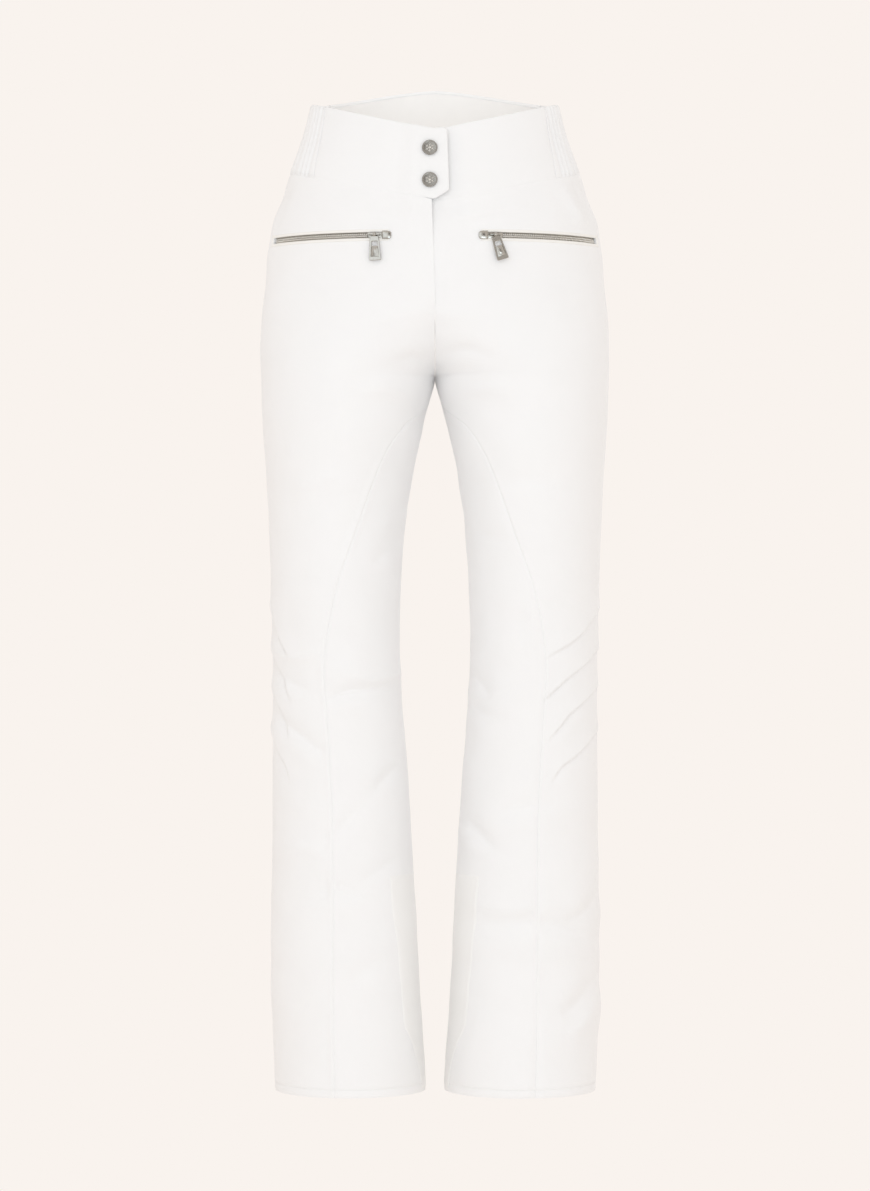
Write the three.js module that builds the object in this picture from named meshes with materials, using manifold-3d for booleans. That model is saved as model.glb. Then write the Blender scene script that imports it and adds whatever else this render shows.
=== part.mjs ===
// Women's ski trousers with a high elastic-sided waistband, two press studs, a zip fly,
// two zipped hip pockets, a shaped front seam from crotch to knee, and snow gaiters inside the hems.
// Millimetres. The trousers hang upright: +Z up, front towards -Y, the wearer's left towards +X.
// Heights are counted up from the hem; the group is lowered at the end so that the origin is the
// middle of the waist opening, level with the front of the waistband.
import * as THREE from "three";
import { mergeVertices } from "three/addons/utils/BufferGeometryUtils.js";
import Module from "manifold-3d";

const wasm = await Module();
wasm.setup();

// ---------- Driving dimensions ----------
const INSEAM = 761; // crotch to hem
const RISE = 293; // crotch to the top of the waistband at the side
const OUTSEAM = INSEAM + RISE;
const FRONT_DIP = 36; // how far the front of the waistband drops below its sides
const BACK_RISE = 25; // how far its back stands above them
const BAND_HEIGHT = 75;
const FRONT_TOP = OUTSEAM - FRONT_DIP;
const WAIST_HALF = 132; // half-width across the top of the waistband
const HIP_HALF = 186.5; // half-width across the hips
const HEM_OUTER = 171; // from the middle plane to a hem's outer edge
const HEM_INNER = 10.5; // from the middle plane to its inner edge
const KNEE_DROP = 291; // crotch to knee
const KNEE = INSEAM - KNEE_DROP;
const KNEE_REACH = 85; // the flexible knee runs this far above and below it
const KNEE_PIVOT_Y = -4;
const SEAT = 0.5; // between a piece and the cloth it is bonded or riveted to
const CLOTH = 2.5; // padded softshell: face cloth, membrane, wadding and bonded lining
const SEAM_GAP = 0.3; // between pieces that are sewn edge to edge
const SIDE_Y = 6; // where the side seam and the inseam lie, front to back
const CROTCH_CURVE = 110; // height over which the legs join above the crotch

const SEAM_START = INSEAM - 28; // the shaped front seam leaves the inseam here
const SEAM_SHARE = 0.28; // and runs down the leg at this share of the way round it

const HEM_TURN = 10;
const LINING = 0.8; // gaiter, pocket bag and zip tape
const GAITER_TOP = 190;
const GAITER_FOOT = 24;
const GAITER_INSET = 26; // how far the gaiter's elastic foot stands in from the shell
const GRIPPER_HEIGHT = 18;
const GRIPPER = 2;
const FACING = 1.2; // stiff tape inside the waistband and fly

const TAB_ROOT = -36; // the waistband's overlapping end folds open here
const TAB_END = 14;
const TAB_CHAMFER = 7;
const TAB_CORNER = 8;
const TAB_LIFT = 4.1; // outer face of the tab above the cloth under it
const UNDERLAP_END = -19;
const UNDERLAP_DROP = 2; // the button side is pressed in below the tab

const SNAP_X = -5.4;
const SNAP_HEIGHTS = [FRONT_TOP - 21, FRONT_TOP - 55];
const CAP_RADIUS = 8;
const SNAP_RADIUS = 5.5;
const STUD_RADIUS = 2.2;
const POST_RADIUS = 1.5;
const FIT = 0.3; // clearance between metal pieces that move or rest on each other

const ZIP_LEVEL = OUTSEAM - 148;
const ZIP_ARC = { x: 37.9, y: 45.8, radius: 149.4, from: 5.2, to: 64 }; // plan arc of a pocket zip, degrees
const ZIP_CLOSED = 9.7; // the slider's place on that arc when the pocket is shut
const ZIP_SLOPE = 0.1; // lean of the cloth round the pocket
const ZIP_FLAT = 28; // the cloth keeps to that lean this far above and below the zip
const CHAIN_HALF = 2.6; // half-width of the two rows of teeth together
const LIP = 0.5; // wall of the slider's lips beside the chain
const TAIL_WIDTH = 2 * (CHAIN_HALF + FIT + 0.1 + LIP);
const SLIDER_WIDTH = TAIL_WIDTH + 1.2;
const WINDOW_HALF = SLIDER_WIDTH / 2 + 2 * FIT; // half-height of the slot in the cloth
const TAPE_REACH = 12;
const TAPE_DEPTH = CLOTH + 1.3;
const CHAIN_GAP = 0.7; // half of the gap between the two rows of teeth
const CHAIN_THICK = 2.6;
const BAG_DROP = 140;

const SLIDER_LENGTH = 16;
const PLATE = 1.4;
const WIRE = 1.4; // square section of the slider's arch
const WIRE_LIFT = 3.4; // its centre above the slider's front plate
const EYE_INNER = 1.25;
const EYE_OUTER = 2.3;
const PULL_LENGTH = 25;
const PULL_TOP = 8.5;
const PULL_BOTTOM = 12.5;
const PULL_THICK = 1.6;
const PULL_SWAY = { left: 17, right: 3 }; // degrees that each pull hangs off plumb

const FLY_TOP = FRONT_TOP - BAND_HEIGHT - 5;
const FLY_FOOT = FLY_TOP - 102;
const FLY_X = -8;
const FLY_DEPTH = CLOTH + 12.5; // the fly zip lies this far behind the cloth's face
const FLY_SHIELD_DEPTH = FLY_DEPTH + 6;
const FLY_SLIDER_DROP = 9;
const FLY_SEAT = 1.4; // between the shell and the fly pieces sewn behind it

// ---------- The body of the trousers as a surface ----------
// Size chart, hem to waist: height, outer and inner half-widths of the pair, front and back depths.
const chart = [
  [0, HEM_OUTER, HEM_INNER, 84, 86],
  [0.145 * INSEAM, 175.5, 16, 78, 84],
  [0.39 * INSEAM, 174.5, 26, 72, 80],
  [KNEE, 174, 37.5, 74, 66],
  [(KNEE + INSEAM) / 2, 178.5, 31, 88, 76],
  [INSEAM - 50, HIP_HALF - 2, 13.5, 102, 93],
  [INSEAM, HIP_HALF, 0, 107, 106],
  [INSEAM + 70, HIP_HALF - 1.5, 0, 112, 122],
  [OUTSEAM - 144, HIP_HALF - 13.5, 0, 108, 120],
  [OUTSEAM - 89, HIP_HALF - 26.5, 0, 101, 108],
  [OUTSEAM - 34, WAIST_HALF + 9, 0, 93, 98],
  [OUTSEAM, WAIST_HALF, 0, 90, 95],
  [OUTSEAM + BACK_RISE, WAIST_HALF - 5, 0, 88, 93],
];

// The chart read at any height, by a smooth curve through its rows.
function sizesAt(z) {
  const last = chart.length - 2;
  let k = 0;
  while (k < last && z > chart[k + 1][0]) k += 1;
  const [low, high] = [chart[k], chart[k + 1]];
  const before = chart[Math.max(k - 1, 0)];
  const after = chart[Math.min(k + 2, chart.length - 1)];
  const span = high[0] - low[0];
  const u = (z - low[0]) / span;
  return low.slice(1).map((start, column) => {
    const c = column + 1;
    const leave = (span * (high[c] - before[c])) / (high[0] - before[0]);
    const arrive = (span * (after[c] - low[c])) / (after[0] - low[0]);
    const rise = high[c] - start;
    return start + u * (leave + u * (3 * rise - 2 * leave - arrive + u * (leave + arrive - 2 * rise)));
  });
}

// One leg's oval at a height. Above the crotch the ovals cross the middle plane and are cut there.
function oval(z) {
  const [outer, inner, front, back] = sizesAt(z);
  const joined = Math.min(Math.max((z - INSEAM) / CROTCH_CURVE, 0), 1) ** 1.3;
  const inside = z < INSEAM ? Math.max(inner, 0) : -outer * joined;
  const half = (outer - inside) / 2;
  const middle = (outer + inside) / 2;
  const cut = Math.acos(-Math.min(middle / half, 1));
  return { half, middle, cut, front: front + SIDE_Y, back: back - SIDE_Y };
}

// A smooth step from 0 to 1 as value goes from one limit to the other, either way up.
const smooth = (from, to, value) => THREE.MathUtils.smoothstep((value - from) / (to - from), 0, 1);

// The cloth round a pocket lies on a steep cone about the zip's own axis, so that the zip fits it.
function pressToZip(p) {
  const turn = Math.atan2(p.x - ZIP_ARC.x, ZIP_ARC.y - p.y) * THREE.MathUtils.RAD2DEG;
  const near = smooth(ZIP_FLAT + 32, ZIP_FLAT, Math.abs(p.z - ZIP_LEVEL));
  const along = smooth(ZIP_ARC.from - 22, ZIP_ARC.from, turn) * smooth(ZIP_ARC.to + 18, ZIP_ARC.to, turn);
  const out = Math.hypot(p.x - ZIP_ARC.x, p.y - ZIP_ARC.y);
  const move = (near * along * (ZIP_ARC.radius + ZIP_SLOPE * (ZIP_LEVEL - p.z) - out)) / out;
  p.x += move * (p.x - ZIP_ARC.x);
  p.y += move * (p.y - ZIP_ARC.y);
  return p;
}

// A point of the left half's face. share runs from 0 at the front edge, over 0.5 at the side, to 1 at the back.
function face(share, z) {
  const o = oval(z);
  const turn = o.cut * (2 * share - 1);
  const y = SIDE_Y + (turn < 0 ? o.front : o.back) * Math.sin(turn);
  return pressToZip(new THREE.Vector3(o.middle + o.half * Math.cos(turn), y, z));
}

function outward(share, z) {
  const step = 0.002;
  const across = face(Math.min(share + step, 1), z).sub(face(Math.max(share - step, 0), z));
  const up = face(share, z + 1).sub(face(share, z - 1));
  return across.cross(up).normalize();
}

// The same, at a depth below the face. Side is 1 for the wearer's left and -1 for the right.
function cloth(share, z, depth, side = 1) {
  const p = face(share, z).addScaledVector(outward(share, z), -depth);
  p.x *= side;
  return p;
}

// Front share of the left half at a distance x from the middle plane.
function frontShare(x, z) {
  const o = oval(z);
  const turn = -Math.acos(THREE.MathUtils.clamp((x - o.middle) / o.half, -1, 1));
  return (turn / o.cut + 1) / 2;
}

// A point behind the face near the front middle, by its x; depth is measured through the cloth.
function behindFront(x, z, depth) {
  const share = frontShare(Math.abs(x), z);
  return new THREE.Vector3(x, face(share, z).y - depth / outward(share, z).y, z);
}

// ---------- Waistline ----------
const topEdge = (share) => {
  const aside = Math.sin(Math.PI * share);
  return share < 0.5 ? OUTSEAM - FRONT_DIP * (1 - aside) ** 0.8 : OUTSEAM + BACK_RISE * (1 - aside ** 1.5);
};
const bandSeam = (share) => topEdge(share) - BAND_HEIGHT;

// A point of the waistband: turn 0 is the front middle, 0.5 the wearer's left side, 1 the back and 1.5 the right.
function band(turn, rise, depth) {
  const round = (turn + 2) % 2;
  const share = round > 1 ? 2 - round : round;
  const z = bandSeam(share) + rise;
  return cloth(share, z, depth, round > 1 ? -1 : 1);
}

// The turn of the waistband at a distance x from the middle plane, at the front.
const bandTurn = (x) => Math.asin(x / sizesAt(OUTSEAM - BAND_HEIGHT)[0]) / Math.PI;

// ---------- Solids ----------
// A closed sheet with two faces. corner(u, v, inner) gives a grid point, with inner 0 or 1.
function sheet(columns, rows, corner, ring = false) {
  const across = ring ? columns : columns + 1;
  const points = [];
  for (let inner = 0; inner < 2; inner += 1)
    for (let j = 0; j <= rows; j += 1)
      for (let i = 0; i < across; i += 1) points.push(...corner(i / columns, j / rows, inner).toArray());
  const at = (i, j, inner) => (inner * (rows + 1) + j) * across + (i % across);
  const faces = [];
  const quad = (a, b, c, d) => faces.push(a, b, c, a, c, d);
  for (let i = 0; i < columns; i += 1) {
    for (let j = 0; j < rows; j += 1) {
      quad(at(i, j, 0), at(i + 1, j, 0), at(i + 1, j + 1, 0), at(i, j + 1, 0));
      quad(at(i, j, 1), at(i, j + 1, 1), at(i + 1, j + 1, 1), at(i + 1, j, 1));
    }
    quad(at(i, 0, 1), at(i + 1, 0, 1), at(i + 1, 0, 0), at(i, 0, 0));
    quad(at(i + 1, rows, 0), at(i + 1, rows, 1), at(i, rows, 1), at(i, rows, 0));
  }
  if (!ring)
    for (let j = 0; j < rows; j += 1) {
      quad(at(0, j, 1), at(0, j, 0), at(0, j + 1, 0), at(0, j + 1, 1));
      quad(at(columns, j, 1), at(columns, j + 1, 1), at(columns, j + 1, 0), at(columns, j, 0));
    }
  const geometry = new THREE.BufferGeometry();
  geometry.setAttribute("position", new THREE.Float32BufferAttribute(points, 3));
  geometry.setIndex(faces);
  return geometry;
}

function solid(geometry) {
  const bare = geometry.clone();
  for (const name of Object.keys(bare.attributes)) if (name !== "position") bare.deleteAttribute(name);
  const merged = mergeVertices(bare, 1e-4);
  const vertProperties = merged.attributes.position.array;
  return new wasm.Manifold(new wasm.Mesh({ numProp: 3, vertProperties, triVerts: new Uint32Array(merged.index.array) }));
}

function shape(made) {
  const mesh = made.getMesh();
  const geometry = new THREE.BufferGeometry();
  geometry.setAttribute("position", new THREE.BufferAttribute(new Float32Array(mesh.vertProperties), 3));
  geometry.setIndex(new THREE.BufferAttribute(new Uint32Array(mesh.triVerts), 1));
  return geometry;
}

const join = (...geometries) => shape(geometries.map(solid).reduce((whole, piece) => whole.add(piece)));
const cutAway = (geometry, ...tools) => shape(tools.map(solid).reduce((left, tool) => left.subtract(tool), solid(geometry)));

function box(x, y, z, at = [0, 0, 0]) {
  return new THREE.BoxGeometry(x, y, z).translate(...at);
}

// A turned piece about +Z from a closed profile of [radius, height] points.
function turned(profile, segments = 16) {
  const points = [...profile, profile[0]].map(([r, h]) => new THREE.Vector2(r, h));
  return new THREE.LatheGeometry(points, segments).rotateX(Math.PI / 2);
}

function outline(points, thickness) {
  const drawn = new THREE.Shape(points.map(([x, y]) => new THREE.Vector2(x, y)));
  return new THREE.ExtrudeGeometry(drawn, { depth: thickness, bevelEnabled: false });
}

// ---------- Materials ----------
const look = (color, roughness, metalness = 0) => new THREE.MeshStandardMaterial({ color, roughness, metalness });
const materials = {
  shell: look(0xf6f4f1, 0.7),
  rib: look(0xf2f0ec, 0.8),
  lining: look(0xe9e6e1, 0.85),
  tape: look(0xefe9df, 0.8),
  grip: look(0xdcd9d4, 0.6),
  nickel: look(0xb9b5ac, 0.28, 1),
  teeth: look(0xc9c4b8, 0.32, 1),
};

function part(name, geometry, material) {
  const mesh = new THREE.Mesh(geometry, materials[material]);
  mesh.name = name;
  return mesh;
}

// ---------- Legs ----------
const evenly = (from, to, count) => Array.from({ length: count + 1 }, (_, i) => from + ((to - from) * i) / count);
const KNEE_TOP = KNEE + KNEE_REACH;
const KNEE_FOOT = KNEE - KNEE_REACH;
const shinRows = evenly(0, KNEE_FOOT, 6);
const kneeRows = evenly(KNEE_FOOT, KNEE_TOP, 4);
const seamRows = [50, 28, 14, 5, 1].map((below) => SEAM_START - below);
const thighRows = [...evenly(KNEE_TOP, SEAM_START - 50, 3).slice(0, -1), ...seamRows];
const crotchRows = [0, 10, 24, 42, 60, 75, 92].map((up) => INSEAM + up);
const zipRows = [-ZIP_FLAT, 0, ZIP_FLAT].map((up) => ZIP_LEVEL + up);
const hipRows = [SEAM_START, ...crotchRows, ...zipRows, (share) => bandSeam(share) - SEAM_GAP];

// Where the shaped front seam lies at a height, as a share of the way round the leg.
function frontSeam(z) {
  const down = Math.max(SEAM_START - z, 0) / (SEAM_START - KNEE);
  return SEAM_SHARE * Math.min(down, 1) ** 0.38;
}

// A sewn panel of the left half. from and to are shares, or functions of height; rows are heights, or functions of share.
function panel(columns, rows, from, to) {
  const read = (value, at) => (typeof value === "function" ? value(at) : value);
  return sheet(columns, rows.length - 1, (u, v, inner) => {
    const row = rows[Math.round(v * (rows.length - 1))];
    const rough = read(row, 0.25);
    const share = THREE.MathUtils.lerp(read(from, rough), read(to, rough), u);
    let z = read(row, share);
    if (v === 0 && z > 0) z += SEAM_GAP / 2;
    if (v === 1) z -= SEAM_GAP / 2;
    const p = cloth(share, z, inner * CLOTH);
    const along = outward(share, z).cross(new THREE.Vector3(0, 0, 1)).normalize();
    if (u === 0) p.addScaledVector(along, -SEAM_GAP / 2);
    if (u === 1) p.addScaledVector(along, SEAM_GAP / 2);
    p.x = Math.max(p.x, SEAM_GAP / 2);
    if (z === 0) p.z = 0; // the hem is cut level
    return p;
  });
}

// A band inside the leg, level with the shell's own columns; rows are [height, depth].
const ringShares = [evenly(0, SEAM_SHARE, 5), evenly(SEAM_SHARE, 0.5, 5), evenly(0.5, 1, 9)].flatMap((s) => s.slice(1));
function legRing(rows, thickness) {
  const columns = ringShares.length;
  const corner = (u, v, inner) => {
    const [z, depth] = rows[Math.round(v * (rows.length - 1))];
    const p = cloth(ringShares[Math.round(u * columns) % columns], z, depth + inner * thickness);
    p.z = z;
    return p;
  };
  return sheet(columns, rows.length - 1, corner, true);
}

// ---------- Pocket zips ----------
const RAD = THREE.MathUtils.DEG2RAD;

// A point by its angle on the zip's arc, its height above the zip's middle and its depth below the cloth's face.
function onArc(degrees, rise, depth) {
  const out = ZIP_ARC.radius - depth - ZIP_SLOPE * rise;
  const turn = degrees * RAD;
  return new THREE.Vector3(ZIP_ARC.x + out * Math.sin(turn), ZIP_ARC.y - out * Math.cos(turn), ZIP_LEVEL + rise);
}

function arcStrip(fromTurn, toTurn, low, high, outer, inner) {
  return sheet(16, 1, (u, v, back) =>
    onArc(THREE.MathUtils.lerp(fromTurn, toTurn, u), v ? high : low, back ? inner : outer),
  );
}

function turnFacesRound(geometry) {
  const indexed = geometry.index ? geometry : mergeVertices(geometry);
  const list = Array.from(indexed.index.array);
  for (let i = 0; i < list.length; i += 3) [list[i + 1], list[i + 2]] = [list[i + 2], list[i + 1]];
  indexed.setIndex(list);
  return indexed;
}

// A slider in its own frame: x along the zip towards the shut chain, y across it, z outwards from the chain's middle.
const PLATE_FROM = CHAIN_THICK / 2 + FIT + 0.1; // the arc bends the chain a little within the slider
function slider() {
  const [head, tail] = [-SLIDER_LENGTH / 2, SLIDER_LENGTH / 2];
  const plate = (z) =>
    outline(
      [[head, -SLIDER_WIDTH / 2 + 1.5], [head + 2, -SLIDER_WIDTH / 2], [0, -SLIDER_WIDTH / 2], [tail, -TAIL_WIDTH / 2],
        [tail, TAIL_WIDTH / 2], [0, SLIDER_WIDTH / 2], [head + 2, SLIDER_WIDTH / 2], [head, SLIDER_WIDTH / 2 - 1.5]],
      PLATE,
    ).translate(0, 0, z);
  const web = box(5, 2 * CHAIN_GAP - 2 * FIT, 2 * PLATE_FROM + 0.4, [head + 3.5, 0, 0]);
  const lip = (side, z) =>
    box(SLIDER_LENGTH / 2, LIP, 0.9, [0, (side * (TAIL_WIDTH - LIP)) / 2, z * (PLATE_FROM - 0.4)]);
  const top = PLATE_FROM + PLATE;
  const foot = WIRE / 2 + 0.1;
  const archHalf = SLIDER_LENGTH / 2 - 2.2;
  const arch = join(
    box(2 * archHalf, WIRE, WIRE, [0, 0, top + WIRE_LIFT]),
    box(WIRE, WIRE, WIRE_LIFT + foot, [-archHalf + WIRE / 2, 0, top + (WIRE_LIFT + foot) / 2 - 0.1]),
    box(WIRE, WIRE, WIRE_LIFT + foot, [archHalf - WIRE / 2, 0, top + (WIRE_LIFT + foot) / 2 - 0.1]),
  );
  const lips = [-1, 1].flatMap((side) => [lip(side, 1), lip(side, -1)]);
  return join(plate(PLATE_FROM), plate(-PLATE_FROM - PLATE), web, arch, ...lips);
}

// The eye that runs on the arch's wire, about the frame's x axis.
function eye() {
  const profile = [[EYE_INNER, -1.1], [EYE_OUTER, -1.1], [EYE_OUTER, 1.1], [EYE_INNER, 1.1]];
  return turned(profile, 14).rotateY(Math.PI / 2);
}

// A tapered pull that hangs along -y from its eye, with a window in it.
function pull(sway) {
  const [top, foot] = [-EYE_OUTER + 0.5, -EYE_OUTER - PULL_LENGTH + 1.5];
  const wide = (share) => THREE.MathUtils.lerp(PULL_TOP, PULL_BOTTOM, share) / 2;
  const blade = outline(
    [[-2.2, top], [-wide(0), top - 2.5], [-wide(1), foot + 1.5], [-wide(1) + 1.5, foot],
      [wide(1) - 1.5, foot], [wide(1), foot + 1.5], [wide(0), top - 2.5], [2.2, top]],
    PULL_THICK,
  ).translate(0, 0, -PULL_THICK / 2);
  const frame = 2;
  const hole = outline(
    [[-wide(0.3) + frame, top - 8], [-wide(0.9) + frame, foot + frame + 1.2],
      [wide(0.9) - frame, foot + frame + 1.2], [wide(0.3) - frame, top - 8]],
    2 * PULL_THICK,
  ).translate(0, 0, -PULL_THICK);
  const turn = sway * RAD;
  const swing = (g) => g.translate(0, -top, 0).rotateZ(turn).translate(0, top, 0);
  const wireRoom = box(20, 2 * EYE_INNER, 2 * EYE_INNER);
  return cutAway(join(eye(), cutAway(swing(blade), swing(hole))), wireRoom);
}

// A group whose x, y and z axes lie along the given directions.
function framed(at, x, y, z, ...children) {
  const group = new THREE.Group();
  group.position.copy(at);
  group.quaternion.setFromRotationMatrix(new THREE.Matrix4().makeBasis(x, y, z));
  if (children.length) group.add(...children);
  return group;
}

function pocketZip(name) {
  const group = new THREE.Group();
  const [from, to] = [ZIP_ARC.from - 2, ZIP_ARC.to + 2];
  const middle = (thick) => [TAPE_DEPTH - thick / 2, TAPE_DEPTH + thick / 2];
  for (const [row, side] of [["upper", 1], ["lower", -1]]) {
    const [tip, root, reach] = [CHAIN_GAP, CHAIN_HALF, TAPE_REACH].map((rise) => side * rise);
    const teeth = [tip, root].sort((a, b) => a - b);
    const tape = [root + side * FIT, reach].sort((a, b) => a - b);
    group.add(
      part(`${name}_${row}_tape`, arcStrip(from, to, ...tape, ...middle(LINING)), "tape"),
      part(`${name}_${row}_teeth`, arcStrip(from + 2.5, to - 2.5, ...teeth, ...middle(CHAIN_THICK)), "teeth"),
    );
  }
  const turn = ZIP_CLOSED * RAD;
  const along = new THREE.Vector3(Math.cos(turn), Math.sin(turn), 0);
  const out = new THREE.Vector3(Math.sin(turn), -Math.cos(turn), ZIP_SLOPE).normalize();
  const hanging = part(`${name}_pull`, pull(name.startsWith("left") ? PULL_SWAY.left : -PULL_SWAY.right), "nickel");
  hanging.position.z = PLATE_FROM + PLATE + WIRE_LIFT;
  const body = part(`${name}_slider`, slider(), "nickel");
  group.add(framed(onArc(ZIP_CLOSED, 0, TAPE_DEPTH), along, out.clone().cross(along), out, body, hanging));
  return group;
}

// The pocket bag is a flat pouch behind the cloth, open at the top where it meets the zip.
function pocketBag() {
  const outer = TAPE_DEPTH + LINING / 2 + SEAT;
  const room = 2.4;
  const pouch = (inset, depth, thick, mouth) =>
    sheet(9, 6, (u, v, inner) => {
      const x = THREE.MathUtils.lerp(48 + inset, 146 - inset, u);
      const z = THREE.MathUtils.lerp(ZIP_LEVEL - BAG_DROP + inset, ZIP_LEVEL - 6.5 + mouth, v);
      return cloth(frontShare(x, z), z, depth + 1.6 * (1 - v) + inner * thick);
    });
  const hollow = pouch(LINING, outer + LINING, room, 3);
  return cutAway(pouch(0, outer, room + 2 * LINING, 0), hollow);
}

function pocketWindow() {
  return arcStrip(ZIP_ARC.from, ZIP_ARC.to, -WINDOW_HALF, WINDOW_HALF, -8, 10);
}

// ---------- One half of the trousers, drawn for the wearer's left ----------
const flat = (depth) => () => depth;

function half(name) {
  const group = new THREE.Group();
  const hip = panel(13, [...thighRows, ...hipRows], frontSeam, 0.5);
  group.add(
    part(`${name}_front_panel`, cutAway(hip, pocketWindow()), "shell"),
    part(`${name}_inner_thigh_panel`, panel(4, thighRows, 0, frontSeam), "shell"),
    part(`${name}_back_panel`, panel(10, [...thighRows.slice(0, 4), ...hipRows], 0.5, 1), "shell"),
    part(`${name}_knee_darted_panel`, panel(5, kneeRows, frontSeam, 0.5), "shell"),
    part(`${name}_knee_inner_panel`, panel(5, kneeRows, 0, frontSeam), "shell"),
    part(`${name}_knee_back_panel`, panel(9, kneeRows, 0.5, 1), "shell"),
    part(`${name}_shin_outer_panel`, panel(5, shinRows, frontSeam, 0.5), "shell"),
    part(`${name}_shin_inner_panel`, panel(5, shinRows, 0, frontSeam), "shell"),
    part(`${name}_calf_panel`, panel(9, shinRows, 0.5, 1), "shell"),
  );
  const inside = CLOTH + SEAT;
  const foot = inside + GAITER_INSET;
  const cuff = GAITER_FOOT + GRIPPER_HEIGHT;
  const flare = [0.5, 0.2, 0].map((v, i) => [THREE.MathUtils.lerp(cuff, GAITER_TOP, (i + 1) / 3), inside + v * GAITER_INSET]);
  const gripper = foot + LINING + SEAT;
  group.add(
    part(`${name}_hem_facing`, legRing([[0, inside], [HEM_TURN, inside]], FACING), "shell"),
    part(`${name}_snow_gaiter`, legRing([[GAITER_FOOT, foot], [cuff + 3, foot], ...flare], LINING), "lining"),
    part(`${name}_gaiter_gripper`, legRing([[GAITER_FOOT, gripper], [cuff, gripper]], GRIPPER), "grip"),
    part(`${name}_pocket_bag`, pocketBag(), "lining"),
    pocketZip(`${name}_pocket`),
  );
  return group;
}

// ---------- Waistband ----------
const ELASTIC_FOOT = 0.206; // half of the elastic's share of the waist at its lower seam
const ELASTIC_TOP = 0.137; // and at its top edge, where it is gathered more
const RIBS = 8;
const RIB_DEPTH = 1;
const seamTurn = 0.0008; // half of a seam's gap, as turn of the waistband
const bandRows = 3;
const elasticHalf = (v) => THREE.MathUtils.lerp(ELASTIC_FOOT, ELASTIC_TOP, v);

// The pieces of the waistband in order round the waist: columns, and where each starts and ends at a height v.
const lap = {
  left: [16, () => bandTurn(UNDERLAP_END), (v) => 0.5 - elasticHalf(v)],
  leftElastic: [4 * RIBS, (v) => 0.5 - elasticHalf(v), (v) => 0.5 + elasticHalf(v)],
  back: [18, (v) => 0.5 + elasticHalf(v), (v) => 1.5 - elasticHalf(v)],
  rightElastic: [4 * RIBS, (v) => 1.5 - elasticHalf(v), (v) => 1.5 + elasticHalf(v)],
  right: [12, (v) => 1.5 + elasticHalf(v), () => 2 + bandTurn(TAB_ROOT)],
};

function bandSheet([columns, from, to], outer, inner) {
  return sheet(columns, bandRows, (u, v, behind) => {
    const turn = THREE.MathUtils.lerp(from(v) + seamTurn, to(v) - seamTurn, u);
    return band(turn, v * BAND_HEIGHT, behind ? inner(turn) : outer(turn, u));
  });
}

// The tape inside the waistband follows every second column of the pieces it lines, up to the front opening.
const FACING_SKIP = 4; // columns of the front pieces left bare beside the opening
function bandFacing() {
  const turns = (v) => Object.values(lap).flatMap(([columns, from, to]) => evenly(from(v), to(v), columns / 2).slice(1));
  const count = turns(0).length - 2 * FACING_SKIP;
  return sheet(count, bandRows, (u, v, behind) => {
    const turn = turns(v)[Math.round(u * count) + FACING_SKIP - 1];
    return band(turn, v * BAND_HEIGHT, CLOTH + SEAT + behind * FACING);
  });
}

const ribbed = (turn, u) => (RIB_DEPTH / 2) * (1 - Math.cos(2 * Math.PI * RIBS * u));
const frontX = (turn) => sizesAt(OUTSEAM - BAND_HEIGHT)[0] * Math.sin(Math.PI * turn);
const underlapDepth = (turn) => UNDERLAP_DROP * (1 - smooth(TAB_END + 3, TAB_END + 20, frontX(turn)));

// A frame on the cloth's face at a press stud, with z outwards.
function snapFrame(x, height) {
  const share = frontShare(Math.abs(x), height);
  const out = outward(share, height);
  out.x *= Math.sign(x);
  const side = new THREE.Vector3(0, 0, 1).cross(out).normalize();
  return framed(cloth(share, height, 0, Math.sign(x)), side, out.clone().cross(side), out);
}

function drill(x, height, radius) {
  const at = snapFrame(x, height);
  const bit = new THREE.CylinderGeometry(radius, radius, 30, 16).rotateX(Math.PI / 2);
  return bit.applyQuaternion(at.quaternion).translate(...at.position.toArray());
}

function waistband() {
  const studHoles = SNAP_HEIGHTS.map((height) => drill(SNAP_X, height, POST_RADIUS + FIT));
  const left = bandSheet(lap.left, underlapDepth, (turn) => underlapDepth(turn) + CLOTH);
  const group = new THREE.Group();
  group.add(
    part("left_waistband_with_underlap", cutAway(left, ...studHoles), "shell"),
    part("right_waistband", bandSheet(lap.right, flat(0), flat(CLOTH)), "shell"),
    part("back_waistband", bandSheet(lap.back, flat(0), flat(CLOTH)), "shell"),
    part("waistband_facing", bandFacing(), "lining"),
    part("left_elastic_side", bandSheet(lap.leftElastic, ribbed, flat(CLOTH)), "rib"),
    part("right_elastic_side", bandSheet(lap.rightElastic, ribbed, flat(CLOTH)), "rib"),
  );
  return group;
}

// The overlapping end of the waistband: a chamfered foot, a rounded top corner, and a rise on to the underlap.
function tab() {
  const corner = (u, v, inner) => {
    const x = THREE.MathUtils.lerp(TAB_ROOT, TAB_END, u);
    const low = TAB_CHAMFER * smooth(-8, TAB_END + 8, x) * 1.4;
    const past = Math.max(x - (TAB_END - TAB_CORNER), 0);
    const high = BAND_HEIGHT - TAB_CORNER + Math.sqrt(TAB_CORNER ** 2 - past ** 2);
    const lifted = -TAB_LIFT * smooth(TAB_ROOT, UNDERLAP_END - 1, x);
    return band(bandTurn(x), THREE.MathUtils.lerp(low, high, v), lifted + inner * CLOTH);
  };
  const postHoles = SNAP_HEIGHTS.map((height) => drill(SNAP_X, height, POST_RADIUS + 2 * FIT));
  return part("waistband_tab", cutAway(sheet(12, 3, corner), ...postHoles), "shell");
}

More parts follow.
